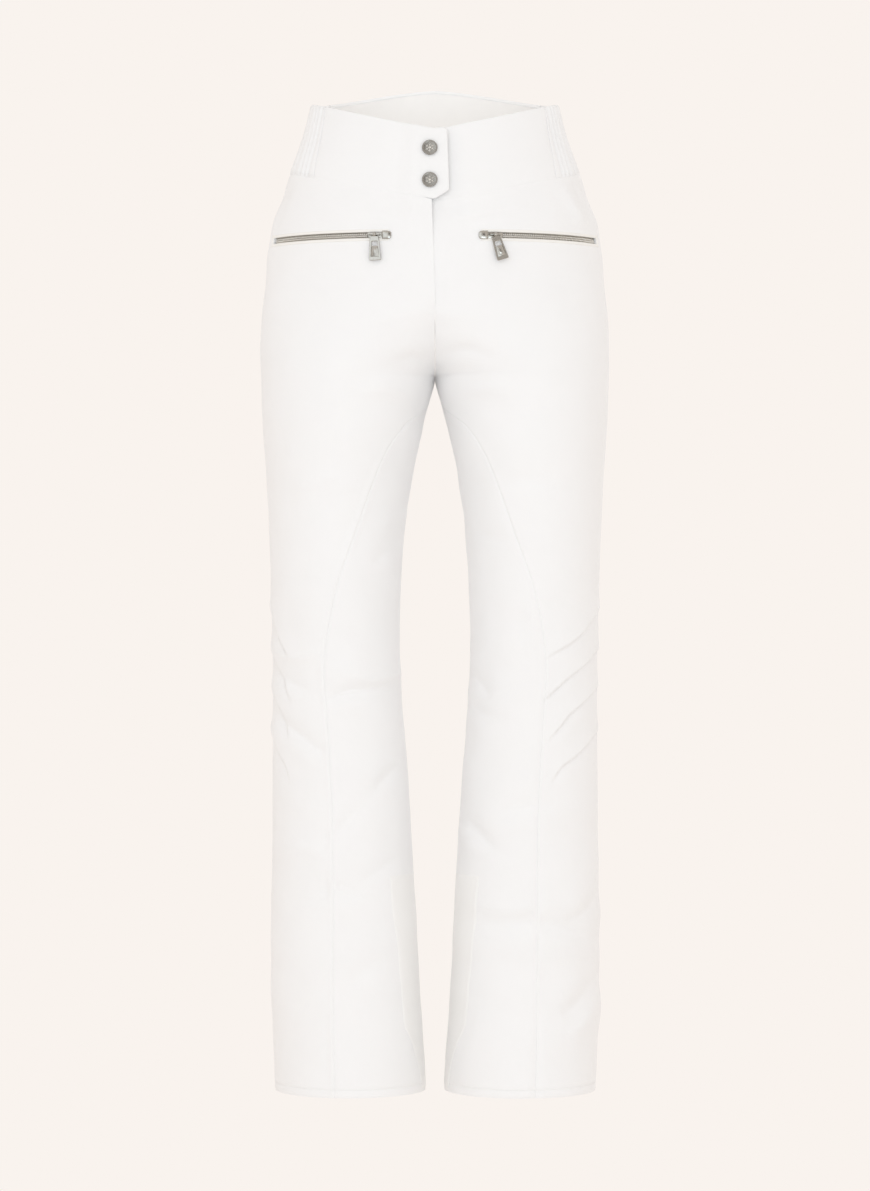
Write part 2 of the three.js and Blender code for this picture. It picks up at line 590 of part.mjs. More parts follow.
// Each press stud from outside in: a dished cap with its post, a socket under the tab,
// a stud on the underlap, and a rivet behind it.
function snap(name, height) {
  const at = snapFrame(SNAP_X, height);
  const tabFace = TAB_LIFT + SEAT;
  const tabBack = TAB_LIFT - CLOTH - SEAT;
  const studSeat = -UNDERLAP_DROP + SEAT;
  const socketFoot = studSeat + 0.7 + FIT;
  const cap = [[0, tabBack + FIT], [POST_RADIUS + FIT, tabBack + FIT], [POST_RADIUS + FIT, tabFace], [CAP_RADIUS, tabFace],
    [CAP_RADIUS, tabFace + 1], [CAP_RADIUS - 1, tabFace + 1.9], [CAP_RADIUS - 2, tabFace + 1.5], [0, tabFace + 1.3]];
  const bore = STUD_RADIUS + FIT;
  const socket = [[0, tabBack - 0.6], [bore, tabBack - 0.6], [bore, socketFoot], [SNAP_RADIUS - 0.8, socketFoot],
    [SNAP_RADIUS, socketFoot + 0.8], [SNAP_RADIUS, tabBack], [0, tabBack]];
  const stud = [[0, studSeat], [SNAP_RADIUS, studSeat], [SNAP_RADIUS, studSeat + 0.7], [STUD_RADIUS, studSeat + 0.7],
    [STUD_RADIUS, tabBack - 0.6 - FIT - 0.3], [STUD_RADIUS - 0.4, tabBack - 0.6 - FIT], [0, tabBack - 0.6 - FIT]];
  const back = -UNDERLAP_DROP - CLOTH - SEAT;
  const rivet = [[0, back - 0.8], [SNAP_RADIUS - 0.5, back - 0.8], [SNAP_RADIUS - 0.5, back], [POST_RADIUS, back],
    [POST_RADIUS, studSeat - FIT], [0, studSeat - FIT]];
  at.add(
    part(`${name}_snap_cap`, lathed(cap), "nickel"),
    part(`${name}_snap_socket`, lathed(socket), "nickel"),
    part(`${name}_snap_stud`, lathed(stud), "nickel"),
    part(`${name}_snap_rivet`, lathed(rivet), "nickel"),
  );
  return at;
}

// A solid of revolution about +Z whose profile starts and ends on the axis.
function lathed(profile) {
  const low = profile[0][1] < profile[profile.length - 1][1];
  const points = (low ? profile : [...profile].reverse()).map(([r, h]) => new THREE.Vector2(r, h));
  return new THREE.LatheGeometry(points, 16).rotateX(Math.PI / 2);
}

// ---------- Fly ----------
// The fly zip is straight, from the waistband down to the fly's foot, behind the right front's overlap.
const flyTopPoint = behindFront(0, FLY_TOP, FLY_DEPTH);
const flyFootPoint = behindFront(0, FLY_FOOT, FLY_DEPTH);
const flyDown = flyFootPoint.clone().sub(flyTopPoint).normalize();

function flyChain(x, z, deeper) {
  const share = (FLY_TOP - z) / (FLY_TOP - FLY_FOOT);
  const y = THREE.MathUtils.lerp(flyTopPoint.y, flyFootPoint.y, share);
  return new THREE.Vector3(x, y + deeper, z);
}

// Half of the fly zip: a coil along the edge of a tape that slants forward to the cloth it is sewn to.
function stringer(side, sewnX, sewnDepth) {
  const across = [
    [FLY_X + side * CHAIN_GAP, CHAIN_THICK, false],
    [FLY_X + side * CHAIN_HALF, CHAIN_THICK, false],
    [FLY_X + side * (CHAIN_HALF + 0.1), LINING, false],
    [FLY_X + side * (SLIDER_WIDTH / 2 + FIT), LINING, false],
    [sewnX, LINING, true],
  ];
  const made = sheet(4, 6, (u, v, inner) => {
    const z = THREE.MathUtils.lerp(FLY_FOOT + 4, FLY_TOP, v);
    const [x, thick, sewn] = across[Math.round(u * 4)];
    if (sewn) return behindFront(x, z, sewnDepth + inner * thick);
    return flyChain(x, z, (inner - 0.5) * thick);
  });
  return side > 0 ? made : turnFacesRound(made);
}

function flyPull() {
  const blade = box(20, 7, EYE_OUTER - EYE_INNER, [11.1 - 0.2, 0, (EYE_OUTER + EYE_INNER) / 2]);
  const hole = box(8, 3.4, 4, [14, 0, (EYE_OUTER + EYE_INNER) / 2]);
  return cutAway(join(eye(), blade), hole);
}

function fly() {
  const group = new THREE.Group();
  const inside = CLOTH + FLY_SEAT;
  const facing = sheet(5, 6, (u, v, inner) => {
    const x = THREE.MathUtils.lerp(-34, -1, u);
    return behindFront(x, THREE.MathUtils.lerp(FLY_FOOT, FLY_TOP, v), inside + inner * FACING);
  });
  const shieldAcross = [[-32, false], [-14, false], [6, false], [23, true]];
  const shield = sheet(3, 6, (u, v, inner) => {
    const z = THREE.MathUtils.lerp(FLY_FOOT - 4, FLY_TOP, v);
    const [x, sewn] = shieldAcross[Math.round(u * 3)];
    if (sewn) return behindFront(x, z, inside + inner * FACING);
    return flyChain(x, z, FLY_SHIELD_DEPTH - FLY_DEPTH + inner * FACING);
  });
  const seat = inside + FACING + SEAT;
  const body = part("fly_slider", slider(), "nickel");
  const hanging = part("fly_pull", flyPull(), "nickel");
  hanging.position.z = PLATE_FROM + PLATE + WIRE_LIFT;
  const sideways = new THREE.Vector3(1, 0, 0);
  const top = flyChain(FLY_X, FLY_TOP - FLY_SLIDER_DROP, 0);
  group.add(
    part("fly_facing", facing, "lining"),
    part("fly_shield", shield, "lining"),
    part("fly_zip_left_half", stringer(1, 8, inside), "tape"),
    part("fly_zip_right_half", stringer(-1, -26, seat), "tape"),
    framed(top, flyDown, sideways, flyDown.clone().cross(sideways), body, hanging),
  );
  return group;
}

// ---------- Assembly ----------
const trousers = new THREE.Group();
const rightHalf = half("right");
rightHalf.scale.x = -1;
trousers.add(half("left"), rightHalf, waistband(), tab(), snap("upper", SNAP_HEIGHTS[0]), snap("lower", SNAP_HEIGHTS[1]), fly());
trousers.position.z = -FRONT_TOP;

export default trousers;
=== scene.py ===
"""White ski trousers: softshell panels, gathered waistband, metal zips and press studs.

Lengths inside the shape functions are millimetres, and heights are counted up from the hem.
place() turns them into the frame's metres.
"""
import math

import bmesh
import bpy
import numpy as np
from mathutils import Matrix, Vector


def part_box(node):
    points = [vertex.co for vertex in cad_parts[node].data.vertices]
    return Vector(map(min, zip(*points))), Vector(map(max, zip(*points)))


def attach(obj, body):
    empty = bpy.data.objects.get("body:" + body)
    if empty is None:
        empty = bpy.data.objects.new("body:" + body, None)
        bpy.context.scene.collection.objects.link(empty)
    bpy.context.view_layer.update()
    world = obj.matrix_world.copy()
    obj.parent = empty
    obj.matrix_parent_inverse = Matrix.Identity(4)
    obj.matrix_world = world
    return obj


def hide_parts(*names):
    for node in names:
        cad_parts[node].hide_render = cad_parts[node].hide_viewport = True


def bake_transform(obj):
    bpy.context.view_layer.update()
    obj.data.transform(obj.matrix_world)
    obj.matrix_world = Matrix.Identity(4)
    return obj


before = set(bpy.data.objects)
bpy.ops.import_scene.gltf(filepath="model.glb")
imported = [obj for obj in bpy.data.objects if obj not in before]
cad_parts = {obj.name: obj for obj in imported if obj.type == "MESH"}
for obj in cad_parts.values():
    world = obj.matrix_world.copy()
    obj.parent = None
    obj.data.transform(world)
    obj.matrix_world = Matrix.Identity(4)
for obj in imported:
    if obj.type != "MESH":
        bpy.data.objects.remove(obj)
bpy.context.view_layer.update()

HIPS = "hips_and_thighs"
TAB = "waistband_tab"
SIDES = {"left": 1, "right": -1}

# ---------- Sizes ----------
# BAND_CUT, a flat size, and TOOTH_SIZE are in metres; the sways are in degrees.
INSEAM = 761
OUTSEAM = 1054
FRONT_DIP = 36
BACK_RISE = 25
BAND_HEIGHT = 75
BAND_CUT = 0.076
FRONT_TOP = OUTSEAM - FRONT_DIP
FLY_HEAD = FRONT_TOP - BAND_HEIGHT
KNEE = 470
CROTCH_CURVE = 110
SIDE_Y = 6
CLOTH = 2.5
SEAM_START = INSEAM - 28

TAB_ROOT = -36
TAB_END = 14
TAB_LIFT = 4.1
TAB_CORNER = 7
UNDERLAP_END = -19
UNDERLAP_DROP = 2
SNAP_X = -5.4
SNAP_HEIGHTS = (FRONT_TOP - 21, FRONT_TOP - 55)

ZIP_LEVEL = 906
ZIP_SLOPE = 0.1
ZIP_FLAT = 28
ZIP_CENTRE = (37.9, 45.8)
ZIP_RADIUS = 149.4
ZIP_FROM = 5.2
ZIP_TO = 64
ZIP_CLOSED = 9.7
ZIP_SLOT = 4.4
TAPE_DEPTH = CLOTH + 1.3
TAPE_EDGES = (1.9, 12)
WELT_HALF = 1.6
WELT_RISE = 0.95
TOOTH_PITCH = 2.3
TOOTH_REACH = 1.42
TOOTH_SIZE = (0.00276, 0.00128, 0.0026)
PULL_SWAY = {"left": 17, "right": -3}

# The elastic sides: half their span and their channels, as shares of a turn round the waist.
ELASTIC_FOOT = 0.2
ELASTIC_TOP = 0.162
CHANNELS_FOOT = np.array([0.169, 0.151, 0.126, 0.085, 0.03])
CHANNELS_TOP = np.array([0.148, 0.124, 0.100, 0.065, 0.02])
CHANNEL_WIDTH = 0.006
CHANNEL_DEPTH = 2.5
TURN_GAP = 0.0001
LINING_DEPTH = CLOTH + 0.5

FLY_FOOT = 829
FRONT_FAN = ZIP_LEVEL + 16
BACK_FAN = 890
CREASE_STRENGTH = 1.3
TUCK_HEIGHT = 1.7
TUCK_WIDTH = 4.2
KNEE_REACH = 130
HEM_STITCH = 8.5
STITCH_PITCH = 2.6

GAITER_FOOT = 24
GAITER_CUFF = 45
GAITER_TOP = 190
GAITER_DEPTH = CLOTH + 0.5 + 26
GUARD_FOOT = 3
GUARD_TOP = 232

HEM_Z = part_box("left_calf_panel")[0][2]

# Height, outer and inner half-widths of the pair, front and back depths.
CHART = np.array([
    (0, 171, 10.5, 84, 86),
    (110.345, 175.5, 16, 78, 84),
    (296.79, 174.5, 26, 72, 80),
    (470, 174, 37.5, 74, 66),
    (615.5, 178.5, 31, 88, 76),
    (711, 184.5, 13.5, 102, 93),
    (761, 186.5, 0, 107, 106),
    (831, 185, 0, 112, 122),
    (910, 173, 0, 108, 120),
    (965, 160, 0, 101, 108),
    (1020, 141, 0, 93, 98),
    (1054, 132, 0, 90, 95),
    (1079, 127, 0, 88, 93),
], float)


# ---------- The trousers as a surface ----------
def smooth(start, end, value):
    t = np.clip((np.asarray(value, float) - start) / (end - start), 0, 1)
    return t * t * (3 - 2 * t)


def bell(distance, width):
    """1 at no distance, fading smoothly to nothing past the width."""
    return np.exp(-((distance / width) ** 2))


def sizes_at(z):
    """The chart read at any height, by a smooth curve through its rows."""
    z = np.asarray(z, float)
    rows = CHART[:, 0]
    k = np.clip(np.searchsorted(rows, z, side="left") - 1, 0, len(rows) - 2)
    low, high = CHART[k], CHART[k + 1]
    before, after = CHART[np.maximum(k - 1, 0)], CHART[np.minimum(k + 2, len(rows) - 1)]
    span = (high[..., 0] - low[..., 0])[..., None]
    u = ((z - low[..., 0]) / span[..., 0])[..., None]
    leave = span * (high - before) / (high[..., :1] - before[..., :1])
    arrive = span * (after - low) / (after[..., :1] - low[..., :1])
    rise = high - low
    curve = 3 * rise - 2 * leave - arrive + u * (leave + arrive - 2 * rise)
    value = low + u * (leave + u * curve)
    return value[..., 1], value[..., 2], value[..., 3], value[..., 4]


def oval(z):
    outer, inner, front, back = sizes_at(z)
    joined = np.clip((z - INSEAM) / CROTCH_CURVE, 0, 1) ** 1.3
    inside = np.where(z < INSEAM, np.maximum(inner, 0), -outer * joined)
    half = (outer - inside) / 2
    middle = (outer + inside) / 2
    cut = np.arccos(-np.minimum(middle / half, 1))
    return half, middle, cut, front + SIDE_Y, back - SIDE_Y


def zip_angle(x, y):
    """Where a point lies along a pocket zip's curve, in degrees from straight ahead."""
    return np.degrees(np.arctan2(x - ZIP_CENTRE[0], ZIP_CENTRE[1] - y))


def face(share, z):
    """The left half's outside at a share of the way round it and a height."""
    share, z = np.broadcast_arrays(np.asarray(share, float), np.asarray(z, float))
    half, middle, cut, front, back = oval(z)
    turn = cut * (2 * share - 1)
    x = middle + half * np.cos(turn)
    y = SIDE_Y + np.where(turn < 0, front, back) * np.sin(turn)
    dx, dy = x - ZIP_CENTRE[0], y - ZIP_CENTRE[1]
    angle = zip_angle(x, y)
    near = smooth(ZIP_FLAT + 24, ZIP_FLAT - 14, np.abs(z - ZIP_LEVEL))
    near = near * smooth(ZIP_FROM - 22, ZIP_FROM, angle) * smooth(ZIP_TO + 18, ZIP_TO, angle)
    out = np.hypot(dx, dy)
    move = near * (ZIP_RADIUS + ZIP_SLOPE * (ZIP_LEVEL - z) - out) / np.maximum(out, 1)
    return np.stack([x + move * dx, y + move * dy, z], -1)


def outward(share, z):
    step = 0.002
    across = face(np.minimum(share + step, 1), z) - face(np.maximum(share - step, 0), z)
    up = face(share, z + 1.0) - face(share, z - 1.0)
    n = np.cross(across, up)
    return n / np.linalg.norm(n, axis=-1, keepdims=True)


def cloth(share, z, depth=0.0, side=1):
    share, z = np.broadcast_arrays(np.asarray(share, float), np.asarray(z, float))
    p = face(share, z) - outward(share, z) * np.asarray(depth, float)[..., None]
    p[..., 0] *= side
    return p


def front_share(x, z):
    half, middle, cut, _, _ = oval(z)
    turn = -np.arccos(np.clip((x - middle) / half, -1, 1))
    return (turn / cut + 1) / 2


# The shaped front seam: height, and its share of the way round from the inseam.
FRONT_SEAM = np.array([
    (0, 0.280), (100, 0.274), (200, 0.270), (300, 0.268), (380, 0.272), (420, 0.276), (452, 0.279),
    (478, 0.273), (503, 0.262), (524, 0.252), (545, 0.240), (567, 0.223), (590, 0.205), (612, 0.189),
    (634, 0.175), (655, 0.162), (675, 0.149), (695, 0.130), (711.6, 0.101), (722, 0.062),
    (730, 0.017), (733, 0),
])


def front_seam(z):
    spread = 9 * smooth(720, 690, z)
    shares = [np.interp(z + k * spread, FRONT_SEAM[:, 0], FRONT_SEAM[:, 1]) for k in (-1, -0.5, 0, 0.5, 1)]
    return sum(shares) / 5


def top_edge(share):
    aside = np.sin(np.pi * share)
    front = OUTSEAM - FRONT_DIP * np.maximum(1 - aside, 0) ** 0.8
    back = OUTSEAM + BACK_RISE * (1 - np.abs(aside) ** 1.5)
    return np.where(share < 0.5, front, back)


def band_seam(share):
    return top_edge(share) - BAND_HEIGHT


def band(turn, rise, depth):
    """A point of the waistband: turn 0 is the front middle, 0.5 the wearer's left side, 1 the back."""
    turn = np.mod(np.asarray(turn, float) + 2, 2)
    right = turn > 1
    share = np.where(right, 2 - turn, turn)
    p = cloth(share, band_seam(share) + rise, depth)
    p[..., 0] *= np.where(right, -1, 1)
    return p


BAND_HALF = float(sizes_at(OUTSEAM - BAND_HEIGHT)[0])


def band_turn(x):
    return np.arcsin(x / BAND_HALF) / np.pi


def band_x(turn):
    return BAND_HALF * np.sin(np.pi * turn)


def band_normal(turn, rise):
    return band(turn, rise, np.zeros_like(turn)) - band(turn, rise, np.ones_like(turn))


def on_arc(degrees, rise, depth, side=1):
    """A point by its angle on a pocket zip's curve, its height above the zip and its depth in the cloth."""
    out = ZIP_RADIUS - depth - ZIP_SLOPE * np.asarray(rise, float)
    turn = np.radians(degrees)
    x = ZIP_CENTRE[0] + out * np.sin(turn)
    y = ZIP_CENTRE[1] - out * np.cos(turn)
    x, y, z = np.broadcast_arrays(x * side, y, ZIP_LEVEL + np.asarray(rise, float))
    return np.stack([x, y, z], -1)


def place(points):
    """Millimetres above the hem to the frame's metres."""
    points = np.asarray(points, float) / 1000
    points[..., 2] += HEM_Z
    return points


# ---------- Folds in the cloth ----------
def drift(points, size, seed, stretch=(1, 1, 1)):
    """A smooth wandering height with bumps about size millimetres across, between about -1 and 1."""
    rng = np.random.default_rng(seed)
    total = np.zeros(points.shape[:-1])
    for _ in range(14):
        way = rng.normal(size=3)
        way *= rng.uniform(0.6, 1.5) * math.pi / size / np.linalg.norm(way) / np.array(stretch)
        total += np.cos(points @ way + rng.uniform(0, 2 * math.pi))
    return total / math.sqrt(14)


def along(path, count=24):
    """A smooth line through a few points."""
    path = np.array(path, float)
    if len(path) == 2:
        return path[0] + np.linspace(0, 1, count)[:, None] * (path[1] - path[0])
    padded = np.vstack([2 * path[0] - path[1], path, 2 * path[-1] - path[-2]])
    t = np.linspace(0, len(path) - 1 - 1e-9, count)
    k = t.astype(int)
    f = (t - k)[:, None]
    a, b, c, d = padded[k], padded[k + 1], padded[k + 2], padded[k + 3]
    return 0.5 * (2 * b + (c - a) * f + (2 * a - 5 * b + 4 * c - d) * f**2 + (3 * b - a - 3 * c + d) * f**3)


def beside(x, z, path):
    """Distance from a line, which side of it, and how far along it, for each point."""
    line = along(path)
    best = np.full(x.shape, 1e9)
    side = np.ones(x.shape)
    share = np.zeros(x.shape)
    for i in range(len(line) - 1):
        a, d = line[i], line[i + 1] - line[i]
        t = np.clip(((x - a[0]) * d[0] + (z - a[1]) * d[1]) / (d @ d), 0, 1)
        dx, dz = x - a[0] - t * d[0], z - a[1] - t * d[1]
        r = np.hypot(dx, dz)
        closer = r < best
        best = np.where(closer, r, best)
        side = np.where(closer, np.sign(d[0] * dz - d[1] * dx), side)
        share = np.where(closer, (i + t) / (len(line) - 1), share)
    return best, side, share


def crease(x, z, height, width, path):
    """A fold along a line: a fine crest with a hollow to one side. A negative height is a valley."""
    r, side, share = beside(x, z, path)
    q = r / width
    ends = np.sin(np.pi * np.clip(share, 0.02, 0.98)) ** 0.7
    crest = np.exp(-1.3 * (np.sqrt(q * q + 0.07) - 0.2646))
    hollow = 0.5 * bell(side * q + 1.5, 1.5) + 0.28 * bell(side * q - 1.8, 2)
    return 1.7 * height * ends * (crest - hollow)


def tuck(x, z, height, width, path):
    """A sewn tuck: the cloth above the line laps over the cloth below it and fades out at its far end."""
    r, side, share = beside(x, z, path)
    q = -side * r / width
    above = bell(q, 2.6)
    below = -0.9 * bell(q, 1.3)
    fade = smooth(1.0, 0.6, share) * smooth(-0.05, 0.02, share)
    return height * fade * (below + (above - below) * smooth(-0.3, 0.12, q))


# Height and width of each fold, and the line it follows: x to the wearer's left, height above the hem.
FRONT_CREASES = [
    (-1.7, 7, [(4, 779), (30, 786), (60, 776)]),
    (-1.3, 6, [(-4, 775), (-22, 779), (-44, 771)]),
    (1.1, 9, [(-80, 741), (-55, 745), (-26, 738)]),
    (1.2, 9, [(22, 742), (57, 746), (84, 739)]),
    (-0.5, 7, [(-1, 832), (-3, 800), (0, 764)]),
    (0.8, 10, [(-75, 815), (-20, 825), (20, 822), (96, 815)]),
    (-0.9, 7, [(18, 972), (42, 982), (70, 984)]),
    (-1.1, 8, [(6, 936), (44, 948), (96, 961)]),
    (0.8, 9, [(10, 920), (50, 930), (92, 940)]),
    (-0.7, 6, [(-74, 930), (-34, 924)]),
    (-0.8, 7, [(-66, 962), (-30, 957), (-6, 950)]),
    (-1.3, 8, [(142, 974), (160, 944), (174, 905)]),
    (1.0, 7, [(134, 966), (150, 936), (160, 918)]),
    (-1.0, 8, [(-150, 972), (-163, 945), (-173, 912)]),
    (0.9, 9, [(-60, 587), (-44, 616)]),
    (-1.0, 7, [(-66, 560), (-48, 578)]),
    (-2.1, 8, [(-118, 418), (-89, 427), (-44, 431)]),
    (1.5, 9, [(-96, 446), (-64, 438), (-36, 447)]),
    (-1.5, 8, [(-38, 350), (-52, 336), (-66, 318)]),
    (-1.4, 10, [(-74, 312), (-98, 286), (-128, 258)]),
    (-1.9, 8, [(-174, 408), (-153, 388), (-112, 358)]),
    (-1.4, 7, [(-172, 448), (-152, 436), (-136, 428)]),
    (1.3, 9, [(-170, 470), (-146, 462), (-120, 470)]),
    (-1.6, 9, [(-134, 208), (-103, 219), (-72, 208)]),
    (-1.2, 8, [(-78, 226), (-54, 241), (-38, 250)]),
    (1.2, 12, [(-166, 250), (-140, 262), (-112, 252)]),
    (-1.0, 12, [(-92, 112), (-74, 134), (-52, 146)]),
    (-1.2, 10, [(66, 296), (94, 306), (132, 309)]),
    (-2.2, 8, [(34, 292), (46, 278), (64, 260)]),
    (-2.4, 12, [(46, 181), (100, 185), (138, 177), (174, 160)]),
    (1.4, 11, [(30, 203), (76, 196), (110, 200)]),
    (-1.6, 10, [(176, 216), (156, 192), (136, 186)]),
    (-2.0, 11, [(175, 130), (150, 96), (132, 88)]),
    (1.4, 10, [(174, 104), (154, 74), (138, 66)]),
    (-1.6, 8, [(40, 446), (52, 430), (58, 420)]),
    (-1.2, 9, [(38, 416), (50, 404), (66, 398)]),
    (1.2, 8, [(100, 522), (104, 500), (102, 470)]),
    (-1.1, 10, [(44, 600), (62, 588), (86, 590)]),
    (-0.9, 12, [(60, 640), (92, 650), (130, 640)]),
    (0.9, 13, [(-150, 640), (-112, 652), (-84, 640)]),
]
BACK_CREASES = [
    (-2.6, 9, [(8, 742), (50, 728), (100, 736), (150, 752)]),
    (-2.6, 9, [(-8, 742), (-52, 730), (-100, 737), (-150, 751)]),
    (1.8, 12, [(20, 700), (70, 690), (120, 700)]),
    (1.8, 12, [(-20, 702), (-70, 690), (-120, 700)]),
    (-2.0, 9, [(40, 500), (80, 488), (140, 500)]),
    (-2.2, 9, [(-42, 496), (-90, 484), (-140, 498)]),
    (1.6, 11, [(50, 462), (96, 452), (150, 466)]),
    (1.6, 11, [(-50, 464), (-96, 450), (-150, 462)]),
    (-1.8, 9, [(44, 430), (90, 424), (130, 438)]),
    (-1.8, 9, [(-44, 432), (-88, 424), (-134, 436)]),
    (-1.6, 12, [(30, 230), (80, 212), (140, 230)]),
    (-1.8, 12, [(-30, 226), (-86, 210), (-140, 232)]),
    (1.5, 12, [(40, 150), (90, 166), (150, 150)]),
    (1.3, 12, [(-40, 154), (-90, 168), (-150, 148)]),
    (-1.4, 9, [(0, 800), (26, 812), (60, 806)]),
    (-1.4, 9, [(0, 800), (-26, 812), (-60, 806)]),
    (-0.9, 12, [(30, 930), (70, 920), (120, 934)]),
    (-0.9, 12, [(-30, 930), (-70, 920), (-120, 934)]),
]
# Curved tucks on the outer side of each knee, from the side seam down to the front seam.
KNEE_TUCKS = [
    [(176, 516), (165, 500), (155, 488), (144, 479), (133, 472), (122, 466), (112, 459)],
    [(175, 473), (161, 457), (150, 448), (139, 440), (128, 430), (117, 420), (110, 413)],
    [(175, 433), (163, 420), (152, 411), (141, 402), (131, 389), (123, 380), (117, 372)],
    [(174, 385), (163, 372), (152, 361), (144, 355), (133, 347), (125, 335), (121, 327)],
]


def relief(x, z, back, points):
    """How far the cloth stands out of its smooth shape, for x to the wearer's left and a height."""
    total = 0.8 * drift(points, 95, 11, (1, 1, 1.6))
    total += 0.42 * drift(points, 38, 12, (1.3, 1, 0.8)) * smooth(1000, 880, z)
    total += 0.14 * drift(points, 17, 13)
    total += 0.9 * drift(points, 120, 14, (1.6, 1, 0.8)) * smooth(330, 180, z)
    for height, width, path in BACK_CREASES if back else FRONT_CREASES:
        total += CREASE_STRENGTH * crease(x, z, height, width, path)
    return total


# ---------- Meshes ----------
def linked(name, mesh, material=None, sharp=None, smoothed=True):
    """A piece made of a mesh, with hard edges past the angle sharp, in degrees."""
    if material:
        mesh.materials.append(material)
    if smoothed:
        mesh.shade_smooth()
    if sharp:
        mesh.set_sharp_from_angle(angle=math.radians(sharp))
    piece = bpy.data.objects.new(name, mesh)
    bpy.context.scene.collection.objects.link(piece)
    return piece


def bmesh_piece(name, bm, material, sharp=None, smoothed=True, outwards=True):
    """A piece from a bmesh, with its faces turned outwards unless they already are."""
    if outwards:
        bmesh.ops.recalc_face_normals(bm, faces=bm.faces)
    mesh = bpy.data.meshes.new(name)
    bm.to_mesh(mesh)
    bm.free()
    return linked(name, mesh, material, sharp, smoothed)


def vert(bm, point):
    """A vertex at a point in millimetres above the hem."""
    return bm.verts.new(place(np.array(point)).tolist())


def bridge(bm, rings, around=False, capped=False):
    """Walls from each ring of vertices to the next: round to the first again, or capped at both ends."""
    for a, b in zip(rings, rings[1:] + (rings[:1] if around else [])):
        for i in range(len(a)):
            k = (i + 1) % len(a)
            bm.faces.new((a[i], a[k], b[k], b[i]))
    if capped:
        bm.faces.new(rings[0][::-1])
        bm.faces.new(rings[-1])


def circle(count):
    return np.linspace(0, 2 * math.pi, count + 1)[:-1]


def lengths_across(points):
    """Distance from the first point of each row, along the row, and the row's whole length."""
    steps = np.linalg.norm(np.diff(points, axis=1), axis=-1)
    run = np.concatenate([np.zeros((len(points), 1)), np.cumsum(steps, 1)], 1)
    return run, run[:, -1:]


def wall_piece(name, outer, inner, material, hole=None, mirrored=False, ring=False, from_end=False):
    """A closed sheet between two grids of points in millimetres, less the cells inside hole.

    Its weave map counts from the first column, or from the last one if from_end is set.
    """
    tall, width = outer.shape[:2]
    rows, columns, half = tall - 1, width if ring else width - 1, tall * width
    gone = np.zeros((rows, columns), bool)
    if hole:
        gone[hole[0]:hole[1], hole[2]:hole[3]] = True

    def empty(j, i):
        i = i % columns if ring else i
        return not (0 <= j < rows and 0 <= i < columns) or gone[j, i]

    faces = []
    for j in range(rows):
        for i in range(columns):
            if gone[j, i]:
                continue
            k = (i + 1) % width
            a, b, c, d = j * width + i, j * width + k, (j + 1) * width + k, (j + 1) * width + i
            faces += [(a, b, c, d), (d + half, c + half, b + half, a + half)]
            around = ((j - 1, i, a, b), (j, i + 1, b, c), (j + 1, i, c, d), (j, i - 1, d, a))
            faces += [(r, q, q + half, r + half) for row, column, q, r in around if empty(row, column)]
    if mirrored:
        faces = [f[::-1] for f in faces]
    mesh = bpy.data.meshes.new(name)
    mesh.from_pydata(place(np.concatenate([outer.reshape(-1, 3), inner.reshape(-1, 3)])).tolist(), [], faces)
    run, whole = lengths_across(outer)
    weave = np.stack([run - whole if from_end else run, outer[..., 2]], -1).reshape(-1, 2) / 1000
    corner = np.empty(len(mesh.loops), int)
    mesh.loops.foreach_get("vertex_index", corner)
    layer = mesh.uv_layers.new(name="weave")
    layer.data.foreach_set("uv", np.concatenate([weave, weave])[corner].ravel())
    if hole:
        bm = bmesh.new()
        bm.from_mesh(mesh)
        bmesh.ops.delete(bm, geom=[v for v in bm.verts if not v.link_faces], context="VERTS")
        bm.to_mesh(mesh)
        bm.free()
    return linked(name, mesh, material, 55)


def spaced(count, crowd=0.55):
    """Even steps from 0 to 1, drawn closer together towards both ends."""
    t = np.linspace(0, 1, count + 1)
    return (1 - crowd) * t + crowd * (1 - np.cos(np.pi * t)) / 2


def edge_roll(distance, depth=1.1, width=1.9):
    """Cloth turns down into a seam at the edge of its panel."""
    return -depth * bell(distance, width)


# ---------- Leg and hip panels ----------
def fly_edge(side, x, z):
    """The right front laps over the left along the fly: how far each stands out and reaches across."""
    tall = smooth(FLY_FOOT - 3, FLY_FOOT + 12, z)
    reach = bell(x, 9) * tall
    edge = np.interp(z, [FLY_FOOT, FLY_HEAD], [-0.5, 3.2])
    if side < 0:
        to_tab = (TAB_LIFT - 0.2) * smooth(FLY_HEAD - 63, FLY_HEAD - 3, z) * smooth(41, 21, x)
        return np.maximum(1.1 * tall * smooth(30, 4, x), to_tab), reach * edge
    to_underlap = UNDERLAP_DROP * smooth(FLY_HEAD - 53, FLY_HEAD - 3, z) * smooth(34, 17, x)
    return -np.maximum(1.3 * tall * smooth(15, 6, x), to_underlap), reach * (-edge - 3)


def by_the_zip(p):
    """1 beside a pocket's zip, fading to 0 a little way off."""
    angle = zip_angle(p[..., 0], p[..., 1])
    near = smooth(20, 9, np.abs(p[..., 2] - ZIP_LEVEL))
    return near * smooth(ZIP_FROM - 5, ZIP_FROM - 1, angle) * smooth(ZIP_TO + 5, ZIP_TO + 1, angle)


